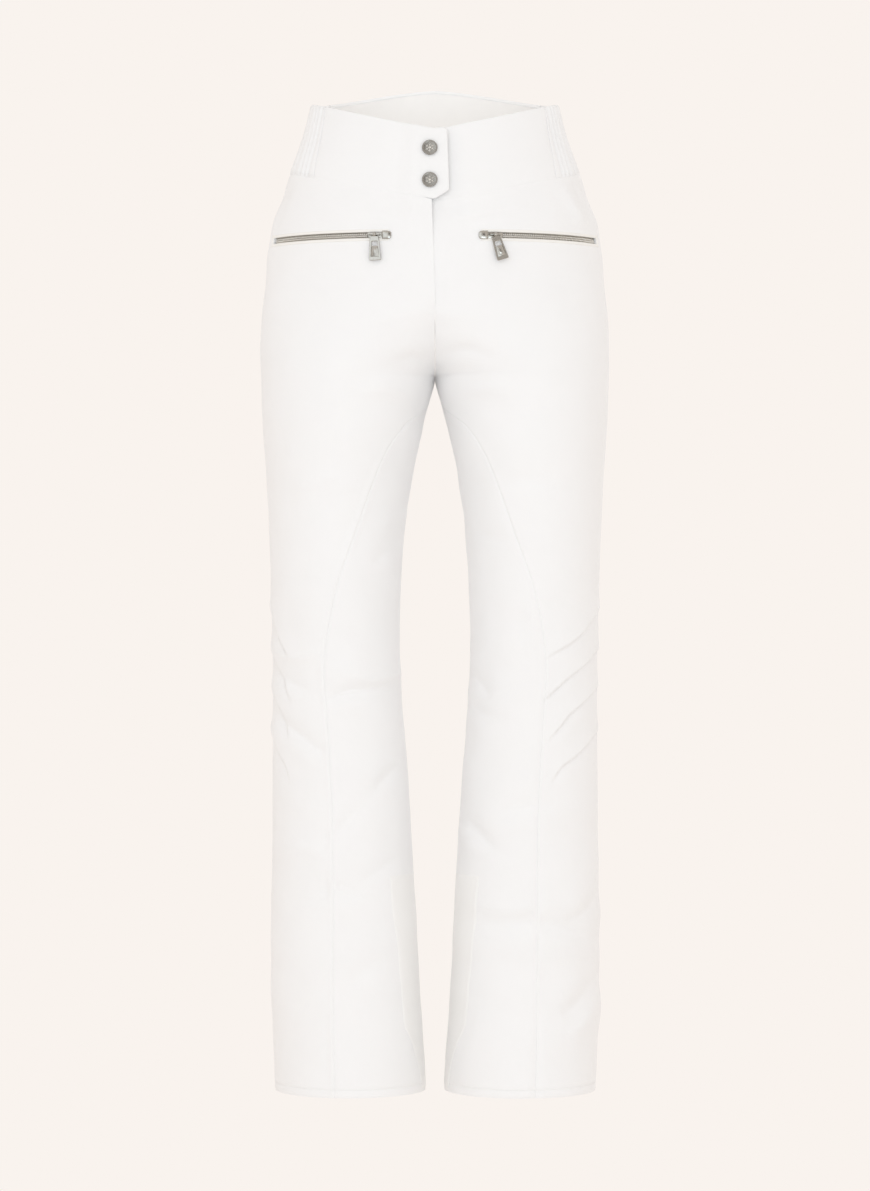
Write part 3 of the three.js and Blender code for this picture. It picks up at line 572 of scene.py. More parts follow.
def sewn_panel(name, side, share, z, material, back=False, hole=None, roll=0.6, step=0.0, from_end=False):
    """A panel over a grid of shares and heights, with its outer face for stitching on.

    roll is how deep its first long edge turns in, and step how far it stands up beside that edge.
    """
    smooth_face = face(share, z)
    normal = outward(share, z)
    run, whole = lengths_across(smooth_face)
    seen = smooth_face * np.array([side, 1, 1])
    rise = relief(seen[..., 0], z, back, seen)
    inset = np.minimum(run, whole - run)
    rise *= (0.25 + 0.75 * smooth(0, 9, inset)) * smooth(-4, 16, band_seam(share) - z)
    across = 0 * rise
    if not back:
        for path in KNEE_TUCKS:
            turned_away = path if side > 0 else [(150 + 0.37 * (x - 110), h) for x, h in path]
            rise += tuck(smooth_face[..., 0], z, TUCK_HEIGHT, TUCK_WIDTH, turned_away)
        rise *= 1 - 0.95 * by_the_zip(smooth_face)
        lift, across = fly_edge(side, smooth_face[..., 0], z)
        rise += lift
    rise += edge_roll(run, 1, 1.2) * roll + edge_roll(whole - run, 0.7, 1.5)
    rise += step * (bell(run, 6) - 0.5 * bell(run, 0.9))
    rise += edge_roll(np.maximum(band_seam(share) - z, 0), 0.24, 1.3)
    rise += -0.55 * bell(z - HEM_STITCH, 1.3) - 0.5 * bell(z, 1.0)
    outer = smooth_face + normal * rise[..., None]
    inner = smooth_face - normal * np.minimum(CLOTH - rise, 3.6)[..., None]
    for grid in (outer, inner):
        grid[..., 0] = (np.maximum(grid[..., 0], 0.03) + across) * side
        grid[z[:, 0] < 0.01, :, 2] = 0
    piece = wall_piece(name, outer, inner, material, hole, mirrored=side < 0, from_end=from_end)
    return piece, outer, normal * np.array([side, 1, 1])


HEM_ROWS = np.array([0, 0.5, 1.3, 2.6, 4, 5.4, 6.6, 7.6, HEM_STITCH, 9.4, 10.4, 11.8, 13.6])


def leg_rows(top):
    """Heights for a front panel's rows, closer together at the hem, the knee and the seam's head."""
    parts = [HEM_ROWS]
    stretches = [(13.6, 300, 3.1), (300, 540, 1.55), (540, 688, 3.1), (688, SEAM_START - 0.2, 0.8)]
    if top > SEAM_START:
        stretches.append((SEAM_START - 0.2, top, 3.1))
    for start, end, pitch in stretches:
        parts.append(np.linspace(start, end, int((end - start) / pitch) + 1)[1:])
    return np.concatenate(parts)


def outer_front(side, name, material):
    columns = 84
    u = spaced(columns)
    low = leg_rows(ZIP_LEVEL - ZIP_SLOT)
    slot = np.linspace(ZIP_LEVEL - ZIP_SLOT, ZIP_LEVEL + ZIP_SLOT, 4)[1:]
    above = np.linspace(ZIP_LEVEL + ZIP_SLOT, FRONT_FAN, 5)[1:]
    fixed = np.repeat(np.concatenate([low, slot, above])[:, None], columns + 1, 1)
    fan = 1 - (1 - np.linspace(0, 1, 21)[1:, None]) ** 1.4
    z = np.concatenate([fixed, FRONT_FAN + fan * (band_seam(0.5 * u[None, :]) - FRONT_FAN)])
    start = np.where(z[:, :1] < SEAM_START, front_seam(z[:, :1]), 0)
    share = start + u[None, :] * (0.5 - start)
    slot_row = len(low) - 1
    at_slot = face(share[slot_row], z[slot_row])
    angle = zip_angle(at_slot[:, 0], at_slot[:, 1])
    first, last = np.flatnonzero((angle >= ZIP_FROM - 0.3) & (angle <= ZIP_TO + 0.3))[[0, -1]]
    seamed = np.where(z[:, :1] < SEAM_START, 1.0, 0.0)
    return sewn_panel(name, side, share, z, material, hole=(slot_row, slot_row + 3, first, last),
                      roll=0.3 + 0.3 * seamed, step=0.5 * seamed, from_end=True)


def inner_front(side, name, material):
    columns = 46
    z = np.repeat(leg_rows(SEAM_START - 0.2)[:, None], columns + 1, 1)
    share = (1 - spaced(columns)[None, ::-1]) * front_seam(z[:, :1])
    return sewn_panel(name, side, share, z, material)


def whole_back(side, name, material):
    columns = 96
    u = spaced(columns)
    rows = np.concatenate([HEM_ROWS, np.linspace(HEM_ROWS[-1], BACK_FAN, 290)[1:]])
    share = np.repeat((0.5 + 0.5 * u)[None, :], len(rows) + 34, 0)
    fan = (1 - (1 - np.linspace(0, 1, 35)[1:]) ** 1.2)[:, None]
    head = BACK_FAN + fan * (band_seam(share[:1]) - BACK_FAN)
    z = np.concatenate([np.repeat(rows[:, None], columns + 1, 1), head])
    return sewn_panel(name, side, share, z, material, back=True)


# ---------- Waistband ----------
def elastic_half(v):
    return ELASTIC_FOOT + (ELASTIC_TOP - ELASTIC_FOOT) * v


def band_piece(name, turn, rise, depth, material, edge=0.35, thickness=CLOTH, foot=0.24):
    """A strip of the waistband over grids of turn, rise and depth."""
    smooth_face, normal = band(turn, rise, depth), band_normal(turn, rise)
    run, whole = lengths_across(smooth_face)
    bulge = (0.3 * drift(smooth_face, 60, 31) + 0.12 * drift(smooth_face, 22, 32)) * smooth(-4, 16, rise)
    bulge += edge_roll(run, edge, 1.5)
    bulge += edge_roll(whole - run, edge, 1.5)
    at_top = np.exp(-((BAND_HEIGHT - rise) / 1.1))
    bulge += edge_roll(rise, foot, 1.3) - 1.1 * at_top
    outer = smooth_face + normal * bulge[..., None]
    inner = smooth_face - normal * thickness
    inner += normal * (0.9 * at_top)[..., None]
    return wall_piece(name, outer, inner, material)


def band_grid(columns, rows, start, end):
    """Turns and rises of a strip between two edges, each given as the turn at a share of the height."""
    u = spaced(columns, 0.3)[None, :]
    v = spaced(rows, 0.35)[:, None]
    first, last = start(v), end(v)
    return first + u * (last - first), v * BAND_HEIGHT + 0 * u


def gathered_side(name, side, material):
    """Elastic in upright channels, with the cloth puckered between them."""
    middle = 0.5 if side > 0 else 1.5
    turn, rise = band_grid(190, 60, lambda v: middle - elastic_half(v) + TURN_GAP,
                           lambda v: middle + elastic_half(v) - TURN_GAP)
    v = rise / BAND_HEIGHT
    off = np.abs(turn - middle)
    groove, pucker = 0 * turn, 0 * turn
    for k, (foot, top) in enumerate(zip(CHANNELS_FOOT, CHANNELS_TOP)):
        gap = (off - foot - (top - foot) * v) / CHANNEL_WIDTH
        groove = np.maximum(groove, np.exp(-np.abs(gap) ** 1.6))
        ripple = np.sin(rise * (0.5 + 0.04 * k) + 2.1 * k + np.sin(rise * 0.2 + k))
        pucker += bell(gap + 1.9, 1.7) * ripple
    ends = smooth(0, 5, rise) * smooth(BAND_HEIGHT + 1, BAND_HEIGHT - 4, rise)
    depth = CHANNEL_DEPTH * groove * (0.3 + 0.7 * ends) + 0.15 * pucker * ends - 0.5 * ends * (1 - groove)
    return band_piece(name, turn, rise, depth, material, edge=0.3, thickness=1.6, foot=0.6)


def right_band_with_tab(name, material):
    """The wearer's right front of the waistband and its overlapping end, cut in one."""
    v = spaced(44, 0.35)[:, None]
    u = spaced(120, 0.62)[None, :]
    first = elastic_half(v) - 0.5 + TURN_GAP
    turn = first + u * (band_turn(TAB_END) - first)
    x = band_x(turn)
    low = 7.4 * np.clip((x + 2.5) / (TAB_END + 2.5), 0, 1)**1.15
    past = np.maximum(x - (TAB_END - TAB_CORNER), 0)
    high = BAND_HEIGHT - TAB_CORNER + np.sqrt(np.maximum(TAB_CORNER**2 - past**2, 0))
    rise = low + v * (high - low)
    lift = TAB_LIFT * smooth(TAB_ROOT - 4, UNDERLAP_END - 1, x)
    smooth_face, normal = band(turn, rise, -lift), band_normal(turn, rise)
    above = rise - low
    bulge = (0.3 * drift(smooth_face, 60, 33) + 0.12 * drift(smooth_face, 20, 34)) * smooth(-4, 16, above)
    run, whole = lengths_across(smooth_face)
    bulge += edge_roll(run, 0.35, 1.5) - 0.9 * np.exp(-(whole - run) / 0.9)
    free = smooth(TAB_ROOT, TAB_ROOT + 20, x)
    bulge += edge_roll(above, 0.24, 1.3) * (1 - free) - 0.8 * free * np.exp(-above / 0.9)
    bulge -= 1.0 * np.exp(-(high - rise) / 1.0)
    for height in SNAP_HEIGHTS:
        r = np.linalg.norm(smooth_face - snap_place(height, -TAB_LIFT)[0], axis=-1)
        bulge -= 0.45 * np.exp(-((r / 10.5) ** 4))
    outer = smooth_face + normal * bulge[..., None]
    inner = smooth_face - normal * (CLOTH - 0.2)
    return wall_piece(name, outer, inner, material)


def left_band(name, material):
    turn, rise = band_grid(96, 44, lambda v: band_turn(UNDERLAP_END) + 0 * v,
                           lambda v: 0.5 - elastic_half(v) - TURN_GAP)
    drop = UNDERLAP_DROP * smooth(TAB_END + 20, TAB_END + 3, band_x(turn))
    return band_piece(name, turn, rise, drop, material)


def back_band(name, material):
    turn, rise = band_grid(120, 44, lambda v: 0.5 + elastic_half(v) + TURN_GAP,
                           lambda v: 1.5 - elastic_half(v) - TURN_GAP)
    return band_piece(name, turn, rise, np.zeros_like(turn), material)


def band_lining(name, material):
    """The tape inside the waistband, with a bound lower edge."""
    first = float(band_turn(47))
    u = np.linspace(0, 1, 261)[None, :]
    v = spaced(26, 0.3)[:, None]
    turn = first + u * (2 - 2 * first) + 0 * v
    rise = 1.5 + v * (BAND_HEIGHT - 5) + 0 * u
    lump = 0.25 * drift(band(turn, rise, np.zeros_like(turn)), 30, 35)
    outer = band(turn, rise, LINING_DEPTH + 0 * turn)
    inner = band(turn, rise, LINING_DEPTH + 1.0 + lump * 0.6 + 0.5 * bell(rise - 6, 2.5))
    return wall_piece(name, outer, inner, material)


# ---------- Inside the legs ----------
def leg_ring(name, side, rows, thickness, material, pleats=0.0, columns=160):
    """A ring inside a leg, over rows of height, depth in the cloth and how much of the pleats shows."""
    share = np.linspace(0, 1, columns + 1)[None, :-1] + 0 * rows[:, :1]
    z = rows[:, :1] + 0 * share
    wave = pleats * np.sin(share * 2 * np.pi * 34 + 1.5 * np.sin(z / 9)) * (1 + 0.4 * np.sin(share * 40))
    depth = rows[:, 1:2] + wave * rows[:, 2:3]
    outer = cloth(share, z, depth, side)
    inner = cloth(share, z, depth + thickness, side)
    outer[..., 2] = inner[..., 2] = z
    return wall_piece(name, outer, inner, material, mirrored=side < 0, ring=True)


def gaiter(name, side, material):
    """A snow gaiter sewn to the shell high up, gathered on to its elastic foot."""
    z = np.concatenate([np.linspace(GAITER_FOOT, GAITER_CUFF, 14),
                        np.linspace(GAITER_CUFF, GAITER_TOP, 50)[1:]])
    depths = [GAITER_DEPTH, GAITER_DEPTH, CLOTH + 13.5, CLOTH + 6, CLOTH + 1.3]
    depth = np.interp(z, [GAITER_FOOT, GAITER_CUFF, 93.7, 141.3, GAITER_TOP], depths)
    full = np.interp(z, [GAITER_FOOT, GAITER_CUFF, 70, 150, GAITER_TOP], [0.5, 0.6, 1.0, 0.4, 0.0])
    return leg_ring(name, side, np.stack([z, depth, full], 1), 0.8, material, pleats=1.3, columns=272)


def gripper(name, side, material):
    """A silicone gripper inside the gaiter's foot."""
    z = np.linspace(GAITER_FOOT, GAITER_CUFF - 3, 37)
    depth = GAITER_DEPTH + 0.8 + 1.2 + 0 * z
    return leg_ring(name, side, np.stack([z, depth, 0 * z], 1), 1.2, material)


def hem_facing(name, side, material):
    z = np.concatenate([np.linspace(0.2, 1.6, 5), np.linspace(1.6, 10, 9)[1:]])
    return leg_ring(name, side, np.stack([z, CLOTH + 0.4 + 0 * z, 0 * z], 1), 1.0, material)


# ---------- Scuff guards ----------
def scuff_guard(name, side, material):
    """A flat tough patch on the inner ankle, from the hem up and over the inseam."""
    z = np.linspace(GUARD_FOOT, GUARD_TOP, 111)[:, None]
    edge_x = np.interp(z, [GUARD_FOOT, 30, 54, 73, 121, 180, GUARD_TOP], [14, 18, 24, 32.5, 36, 43, 47])
    ahead = front_share(edge_x, z)
    behind = np.interp(z, [GUARD_FOOT, 60, 160, GUARD_TOP], [0.1, 0.16, 0.15, 0.1])
    share = -behind + spaced(64, 0.3)[None, :] * (ahead + behind)
    z = z + 0 * share
    rear = share < 0
    share = np.mod(share, 1)
    base, normal = face(share, z), outward(share, z)
    seen = base * np.array([side, 1, 1])
    rise = np.where(rear, relief(seen[..., 0], z, True, seen), relief(seen[..., 0], z, False, seen))
    seam = bell(np.minimum(share, 1 - share), 0.012)
    rise = rise * (1 - 0.6 * seam) - 0.5 * seam
    run, whole = lengths_across(base)
    edge = np.minimum(np.minimum(run, whole - run), np.minimum(z - GUARD_FOOT, GUARD_TOP - z))
    top = rise + 0.55 * (1 - np.exp(-(edge / 0.9))) + 0.1
    outer = (base + normal * top[..., None]) * np.array([side, 1, 1])
    under = (base + normal * (rise - 0.4)[..., None]) * np.array([side, 1, 1])
    return wall_piece(name, outer, under, material, mirrored=side < 0)


# ---------- Repeated pieces ----------
def repeat_tree():
    """Geometry nodes that set a shape on every point, turned by the point's own lie."""
    tree = bpy.data.node_groups.new("repeat along a line", "GeometryNodeTree")
    sockets = tree.interface
    sockets.new_socket("Points", in_out="INPUT", socket_type="NodeSocketGeometry")
    sockets.new_socket("Shape", in_out="INPUT", socket_type="NodeSocketObject")
    for name in ("Length", "Width", "Height"):
        sockets.new_socket(name, in_out="INPUT", socket_type="NodeSocketFloat").default_value = 1
    sockets.new_socket("Finish", in_out="INPUT", socket_type="NodeSocketMaterial")
    sockets.new_socket("Pieces", in_out="OUTPUT", socket_type="NodeSocketGeometry")
    add = tree.nodes.new
    given, out = add("NodeGroupInput"), add("NodeGroupOutput")
    shape, lie = add("GeometryNodeObjectInfo"), add("GeometryNodeInputNamedAttribute")
    size, set_on = add("ShaderNodeCombineXYZ"), add("GeometryNodeInstanceOnPoints")
    whole, finish = add("GeometryNodeRealizeInstances"), add("GeometryNodeSetMaterial")
    lie.data_type = "FLOAT_VECTOR"
    lie.inputs["Name"].default_value = "lie"
    links = [(given, "Shape", shape, "Object"), (given, "Points", set_on, "Points"),
             (shape, "Geometry", set_on, "Instance"), (lie, "Attribute", set_on, "Rotation"),
             (size, "Vector", set_on, "Scale"), (set_on, "Instances", whole, "Geometry"),
             (whole, "Geometry", finish, "Geometry"), (given, "Finish", finish, "Material"),
             (finish, "Geometry", out, "Pieces")]
    links += [(given, name, size, axis) for axis, name in zip("XYZ", ("Length", "Width", "Height"))]
    for start, leaves, end, enters in links:
        tree.links.new(start.outputs[leaves], end.inputs[enters])
    return tree


def repeated(name, tree, shape, points, ways, outs, size, material):
    """Shapes at points in metres; each one's length lies along its way and its height along its out."""
    lies = []
    for way, out in zip(ways, outs):
        x = Vector(way).normalized()
        z = Vector(out)
        z = (z - x * z.dot(x)).normalized()
        turn = Matrix((x, z.cross(x), z)).transposed()
        lies.append(turn.to_euler("XYZ"))
    mesh = bpy.data.meshes.new(name + "_points")
    mesh.from_pydata([tuple(p) for p in points], [], [])
    store = mesh.attributes.new("lie", "FLOAT_VECTOR", "POINT")
    store.data.foreach_set("vector", np.array(lies, float).ravel())
    carrier = linked(name + "_points", mesh)
    nodes = carrier.modifiers.new("repeat", "NODES")
    nodes.node_group = tree
    keys = {item.name: item.identifier for item in tree.interface.items_tree if item.in_out == "INPUT"}
    nodes[keys["Shape"]] = shape
    for key, value in zip(("Length", "Width", "Height"), size):
        nodes[keys[key]] = float(value)
    nodes[keys["Finish"]] = material
    bpy.context.view_layer.update()
    made = bpy.data.meshes.new_from_object(carrier.evaluated_get(bpy.context.evaluated_depsgraph_get()))
    made.name = name
    bpy.data.objects.remove(carrier)
    return linked(name, made)


def hidden_shape(name, build):
    """A small shape, kept out of sight, for the repeats to copy. It is one unit long along x."""
    bm = bmesh.new()
    build(bm)
    mesh = bpy.data.meshes.new(name)
    bm.to_mesh(mesh)
    bm.free()
    mesh.shade_smooth()
    return bpy.data.objects.new(name, mesh)


def tooth_shape(bm):
    """A metal tooth: x across the tape towards the other row, y along the zip, z out of the cloth."""
    head = [(0.1, 0.5), (0.34, 0.5), (0.5, 0.3)]
    profile = [(-0.5, -0.36), *((x, -y) for x, y in head), *head[::-1], (-0.5, 0.36)]
    bridge(bm, [[bm.verts.new((x * (0.9 + 0.1 * scale), y * scale, z)) for x, y in profile]
                for z, scale in ((-0.5, 0.82), (-0.34, 1), (0.34, 1), (0.5, 0.82))], capped=True)


def stitch_shape(bm):
    """One stitch: a short thread that dips into the cloth at both ends."""
    rings = []
    for t in (-0.5, -0.36, -0.15, 0.15, 0.36, 0.5):
        lift = 0.5 * math.cos(math.pi * t) - 0.18
        thick = 0.5 * math.sqrt(max(0.12, 1 - (2 * t) ** 4))
        rings.append([bm.verts.new((t, thick * math.cos(a), lift + thick * math.sin(a) * 0.8))
                      for a in circle(6)])
    for a, b in zip(rings, rings[1:]):
        for i in range(6):
            bm.faces.new((a[i], b[i], b[(i + 1) % 6], a[(i + 1) % 6]))
    bm.faces.new(rings[0])
    bm.faces.new(list(reversed(rings[-1])))
    bmesh.ops.recalc_face_normals(bm, faces=bm.faces)


def stitch_row(name, path, outs, pitch, material, thickness=0.42):
    """A row of stitches along a path in millimetres, with the cloth's outward direction at each point."""
    steps = np.linalg.norm(np.diff(path, axis=0), axis=1)
    run = np.concatenate([[0], np.cumsum(steps)])
    count = int(run[-1] / pitch)
    at = (np.arange(count) + 0.5) * run[-1] / count

    def read(line, where):
        return np.stack([np.interp(where, run, line[:, k]) for k in range(3)], -1)

    size = (pitch * 0.8 / 1000, thickness / 1000, thickness / 1000)
    way = read(path, at + 0.4) - read(path, at - 0.4)
    return repeated(name, repeats, stitch, place(read(path, at)), way, read(outs, at), size, material)


# ---------- Zips ----------
def zip_tape(name, side, low, high, material):
    columns, rows = 90, 8
    degrees = np.linspace(ZIP_FROM - 2, ZIP_TO + 2, columns + 1)[None, :] + np.zeros((rows + 1, 1))
    rise = np.linspace(low, high, rows + 1)[:, None] + 0 * degrees
    rib = 0.12 * np.sin(np.arange(columns + 1) * 2.4)[None, :] * np.ones((rows + 1, 1))
    outer = on_arc(degrees, rise, TAPE_DEPTH - 0.45 - rib, side)
    inner = on_arc(degrees, rise, TAPE_DEPTH + 0.4, side)
    return wall_piece(name, outer, inner, material, mirrored=side < 0)


def zip_teeth(name, side, row, material):
    length = math.radians(ZIP_TO - ZIP_FROM - 1.2) * ZIP_RADIUS
    count = int(length / TOOTH_PITCH)
    step = math.degrees(TOOTH_PITCH / ZIP_RADIUS)
    degrees = ZIP_FROM + 0.6 + (np.arange(count) + (0.36 if row > 0 else 0.64)) * step
    across = TOOTH_REACH * row + 0 * degrees
    spot = on_arc(degrees, across, TAPE_DEPTH - 0.3, side)
    out = spot - on_arc(degrees, across, TAPE_DEPTH + 0.7, side)
    way = np.repeat([[0, 0, -row]], count, 0)
    return repeated(name, repeats, tooth, place(spot), way, out, TOOTH_SIZE, material)


def welt(name, side, material):
    """The bound edge of a pocket: a narrow rounded rim round the slot."""
    count, reach = 70, ZIP_SLOT + 0.2
    middle = (ZIP_FROM + ZIP_TO) / 2
    half = (ZIP_TO - ZIP_FROM) / 2 + 0.5
    long_edge = np.linspace(ZIP_FROM - 0.5, ZIP_TO + 0.5, count)
    ends = np.linspace(-reach, reach, 9)[1:-1]
    first, last = 0 * ends + long_edge[0], 0 * ends + long_edge[-1]
    degrees = np.concatenate([long_edge, last, long_edge[::-1], first])
    rises = np.concatenate([np.full(count, -reach), ends, np.full(count, reach), ends[::-1]])
    bm = bmesh.new()
    rings = []
    for a in circle(12):
        wide, tall = WELT_HALF * math.cos(a), WELT_RISE * math.sin(a)
        d = middle + (degrees - middle) * (1 + math.degrees(wide / ZIP_RADIUS) / half)
        spots = on_arc(d, rises * (1 + wide / reach), 0.15 - tall + 0 * d, side)
        rings.append([vert(bm, spot) for spot in spots])
    bridge(bm, rings, around=True)
    return bmesh_piece(name, bm, material)


def end_stop(name, side, material):
    """A folded metal stop over the inner end of a pocket's zip, just ahead of the shut slider."""
    edge = [(3.0, -2.6), (3.5, -3.9), (4.6, -4.6), (6.7, -4.6)]
    edge += [(degree, -rise) for degree, rise in edge[::-1]]
    middle = 4.9
    bm = bmesh.new()
    rings = []
    for depth, inset in ((2.6, 0.0), (-0.9, 0.0), (-1.7, 0.45), (-2.0, 1.1)):
        drawn = [(d + (middle - d) * inset / 5, r - r * inset / 5) for d, r in edge]
        rings.append([vert(bm, on_arc(d, r, depth, side)) for d, r in drawn])
    bridge(bm, rings, capped=True)
    return bmesh_piece(name, bm, material, 30)


# ---------- Metal pieces ----------
def copied(node):
    """A CAD solid's triangles, joined at their corners."""
    bm = bmesh.new()
    bm.from_mesh(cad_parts[node].data)
    bmesh.ops.remove_doubles(bm, verts=bm.verts, dist=2e-6)
    return bm


def refined(node, name, material, bevel=0.3, segments=2):
    """A metal piece from its CAD solid, with its edges rounded."""
    bm = copied(node)
    bmesh.ops.dissolve_limit(bm, angle_limit=math.radians(2), verts=bm.verts, edges=bm.edges)
    sharp = [e for e in bm.edges if e.is_manifold and e.calc_face_angle(0) > math.radians(35)]
    bmesh.ops.bevel(bm, geom=sharp, offset=bevel / 1000, segments=segments, profile=0.5, affect="EDGES",
                    clamp_overlap=True)
    bmesh.ops.triangulate(bm, faces=[f for f in bm.faces if len(f.verts) > 4])
    return bmesh_piece(name, bm, material, 32, outwards=False)


def soft_copy(node, name, material, lump=0.5):
    """A cloth piece from its CAD solid, made finer and given a slight crumple."""
    bm = copied(node)
    for _ in range(5):
        long_edges = [e for e in bm.edges if e.calc_length() > 0.007]
        if not long_edges:
            break
        bmesh.ops.subdivide_edges(bm, edges=long_edges, cuts=1)
        bmesh.ops.triangulate(bm, faces=bm.faces)
    co = np.array([v.co for v in bm.verts]) * 1000
    shift = lump * drift(co, 26, 41) + 0.4 * lump * drift(co, 11, 42)
    for v, amount in zip(bm.verts, shift):
        v.co.y += amount / 1000
    return bmesh_piece(name, bm, material, 50, outwards=False)


def axes(out):
    """Three directions at right angles: the third along out, the first level."""
    z = Vector(out).normalized()
    x = Vector((0, 0, 1)).cross(z).normalized()
    return x, z.cross(x), z


def turned(name, profile, at, out, material, segments=56):
    """A piece turned about its axis from radius and height, set on a point with its axis along out."""
    basis = Matrix(axes(out)).transposed()
    bm = bmesh.new()
    bridge(bm, [[vert(bm, at + np.array(basis @ Vector((r * math.cos(a), r * math.sin(a), h))))
                 for a in circle(segments)] for r, h in profile])
    bmesh.ops.remove_doubles(bm, verts=bm.verts, dist=1e-6)
    return bmesh_piece(name, bm, material, 38)


def snap_place(height, depth):
    """A point on a snap's axis, at a depth in the cloth, and the way out of the cloth there."""
    share = front_share(abs(SNAP_X), height)
    height = np.array(float(height))
    out = outward(share, height) * np.array([-1, 1, 1])
    return cloth(share, height, depth, -1), out


def snap_cap(name, height, material):
    at, out = snap_place(height, -TAB_LIFT)
    profile = [(0, 1.5), (2.0, 1.505), (4.4, 1.54), (6.2, 1.6), (6.6, 1.64), (6.85, 1.86), (7.2, 2.06),
               (7.6, 2.08), (7.95, 1.88), (8.12, 1.5), (8.1, 1.05), (7.8, 0.62), (7.0, 0.45), (1.8, 0.45),
               (1.8, -3.0), (0, -3.0)]
    return turned(name, profile, at, out, material)


def snap_crystal(name, height, material):
    """A plain six-armed snow crystal, raised in the middle of a cap."""
    at, out = snap_place(height, -TAB_LIFT)
    x, y, z = axes(out)
    bm = bmesh.new()

    def bar(start, end, width):
        across = Vector((-(end - start).y, (end - start).x)).normalized() * width / 2
        rings = []
        for wide, lift in ((1, 1.45), (0.3, 2.1)):
            ring = (start + across * wide, start - across * wide, end - across * wide, end + across * wide)
            rings.append([vert(bm, Vector(at) + x * q[0] + y * q[1] + z * lift) for q in ring])
        bridge(bm, rings, capped=True)

    for k in range(6):
        turn = math.radians(60 * k + 30)
        arm = Vector((math.cos(turn), math.sin(turn)))
        bar(Vector((0, 0)), arm * 4.9, 1.05)
        for lean in (50, -50):
            twig = Vector((math.cos(turn + math.radians(lean)), math.sin(turn + math.radians(lean))))
            bar(arm * 2.5, arm * 2.5 + twig * 1.8, 0.8)
    return bmesh_piece(name, bm, material, smoothed=False)


# ---------- Pulls ----------
def pull_piece(name, side, sway, material):
    """A tapered pull with a window, hanging from the wire over its slider."""
    turn = math.radians(ZIP_CLOSED)
    x = Vector((math.cos(turn), math.sin(turn), 0))
    z = Vector((math.sin(turn), -math.cos(turn), ZIP_SLOPE)).normalized()
    y = z.cross(x)
    origin = Vector(on_arc(ZIP_CLOSED, 0, TAPE_DEPTH)) + z * 6.5
    bm = bmesh.new()

    def set_at(spot):
        return vert(bm, (spot.x * side, spot.y, spot.z))

    def rounded(corners, radius, steps=6):
        points = []
        for i, corner in enumerate(corners):
            here = Vector(corner)
            back = (Vector(corners[i - 1]) - here).normalized()
            ahead = (Vector(corners[(i + 1) % len(corners)]) - here).normalized()
            for t in np.linspace(0, 1, steps):
                a, b = here + back * radius * (1 - t), here + ahead * radius * t
                points.append(tuple(a * (1 - t) + b * t))
        return points

    top, foot = -1.9, -27.6
    head = top - 2.0
    blade = rounded([(-3.6, top), (-4.7, head), (-6.4, foot), (6.4, foot), (4.7, head), (3.6, top)], 1.5)
    window = rounded([(-3.1, -7.4), (-4.3, foot + 4.0), (4.3, foot + 4.0), (3.1, -7.4)], 1.0)
    levels = [(-0.8, 0.35), (-0.55, 0.0), (0.45, 0.0), (0.8, 0.4)]
    swing = Matrix.Rotation(math.radians(sway), 2)

    def shrink(points, amount):
        middle = Vector((sum(p[0] for p in points), sum(p[1] for p in points))) / len(points)
        return [tuple(Vector(p) - (Vector(p) - middle).normalized() * amount) for p in points]

    def at(p, h):
        q = swing @ (Vector(p) - Vector((0, top))) + Vector((0, top))
        return set_at(origin + x * q[0] + y * q[1] + z * h)

    outer = [[at(p, h) for p in shrink(blade, inset)] for h, inset in levels]
    inner = [[at(p, h) for p in shrink(window, -inset)] for h, inset in levels]
    for rings in (outer, inner):
        bridge(bm, rings)
    for end in (0, -1):
        loops = [bm.edges.get(pair) for ring in (outer[end], inner[end])
                 for pair in zip(ring, ring[1:] + ring[:1])]
        bmesh.ops.triangle_fill(bm, use_beauty=True, edges=loops)
    panel = rounded([(-3.4, -12.4), (-4.5, foot + 3.8), (4.5, foot + 3.8), (3.4, -12.4)], 1.2)
    boss = rounded([(-1.3, -14.2), (-2.0, foot + 6.2), (2.0, foot + 6.2), (1.3, -14.2)], 1.3)
    for drawn, low, high in ((panel, -0.35, 0.1), (boss, 0.0, 0.55)):
        bridge(bm, [[at(p, low) for p in drawn], [at(p, high) for p in drawn],
                    [at(p, high + 0.15) for p in shrink(drawn, 0.3)]], capped=True)
    eye = []
    for s in circle(32):
        spots = []
        for t in circle(12):
            r = 1.85 + 0.5 * math.cos(t)
            spots.append(origin + y * (r * math.cos(s)) + z * (r * math.sin(s)) + x * (1.5 * math.sin(t)))
        eye.append([set_at(spot) for spot in spots])
    bridge(bm, eye, around=True)
    return bmesh_piece(name, bm, material, 40)


# ---------- Materials ----------
class Val:
    """A socket's value, with arithmetic that adds Math nodes."""

    def __init__(self, paint, socket):
        self.paint, self.socket = paint, socket

    def _math(self, operation, other, swap=False):
        pair = (other, self) if swap else (self, other)
        return self.paint.node("ShaderNodeMath", {"operation": operation}, pair)

    def __add__(self, other):
        return self._math("ADD", other)

    def __radd__(self, other):
        return self._math("ADD", other, True)

    def __sub__(self, other):
        return self._math("SUBTRACT", other)

    def __rsub__(self, other):
        return self._math("SUBTRACT", other, True)

    def __mul__(self, other):
        return self._math("MULTIPLY", other)

    def __rmul__(self, other):
        return self._math("MULTIPLY", other, True)


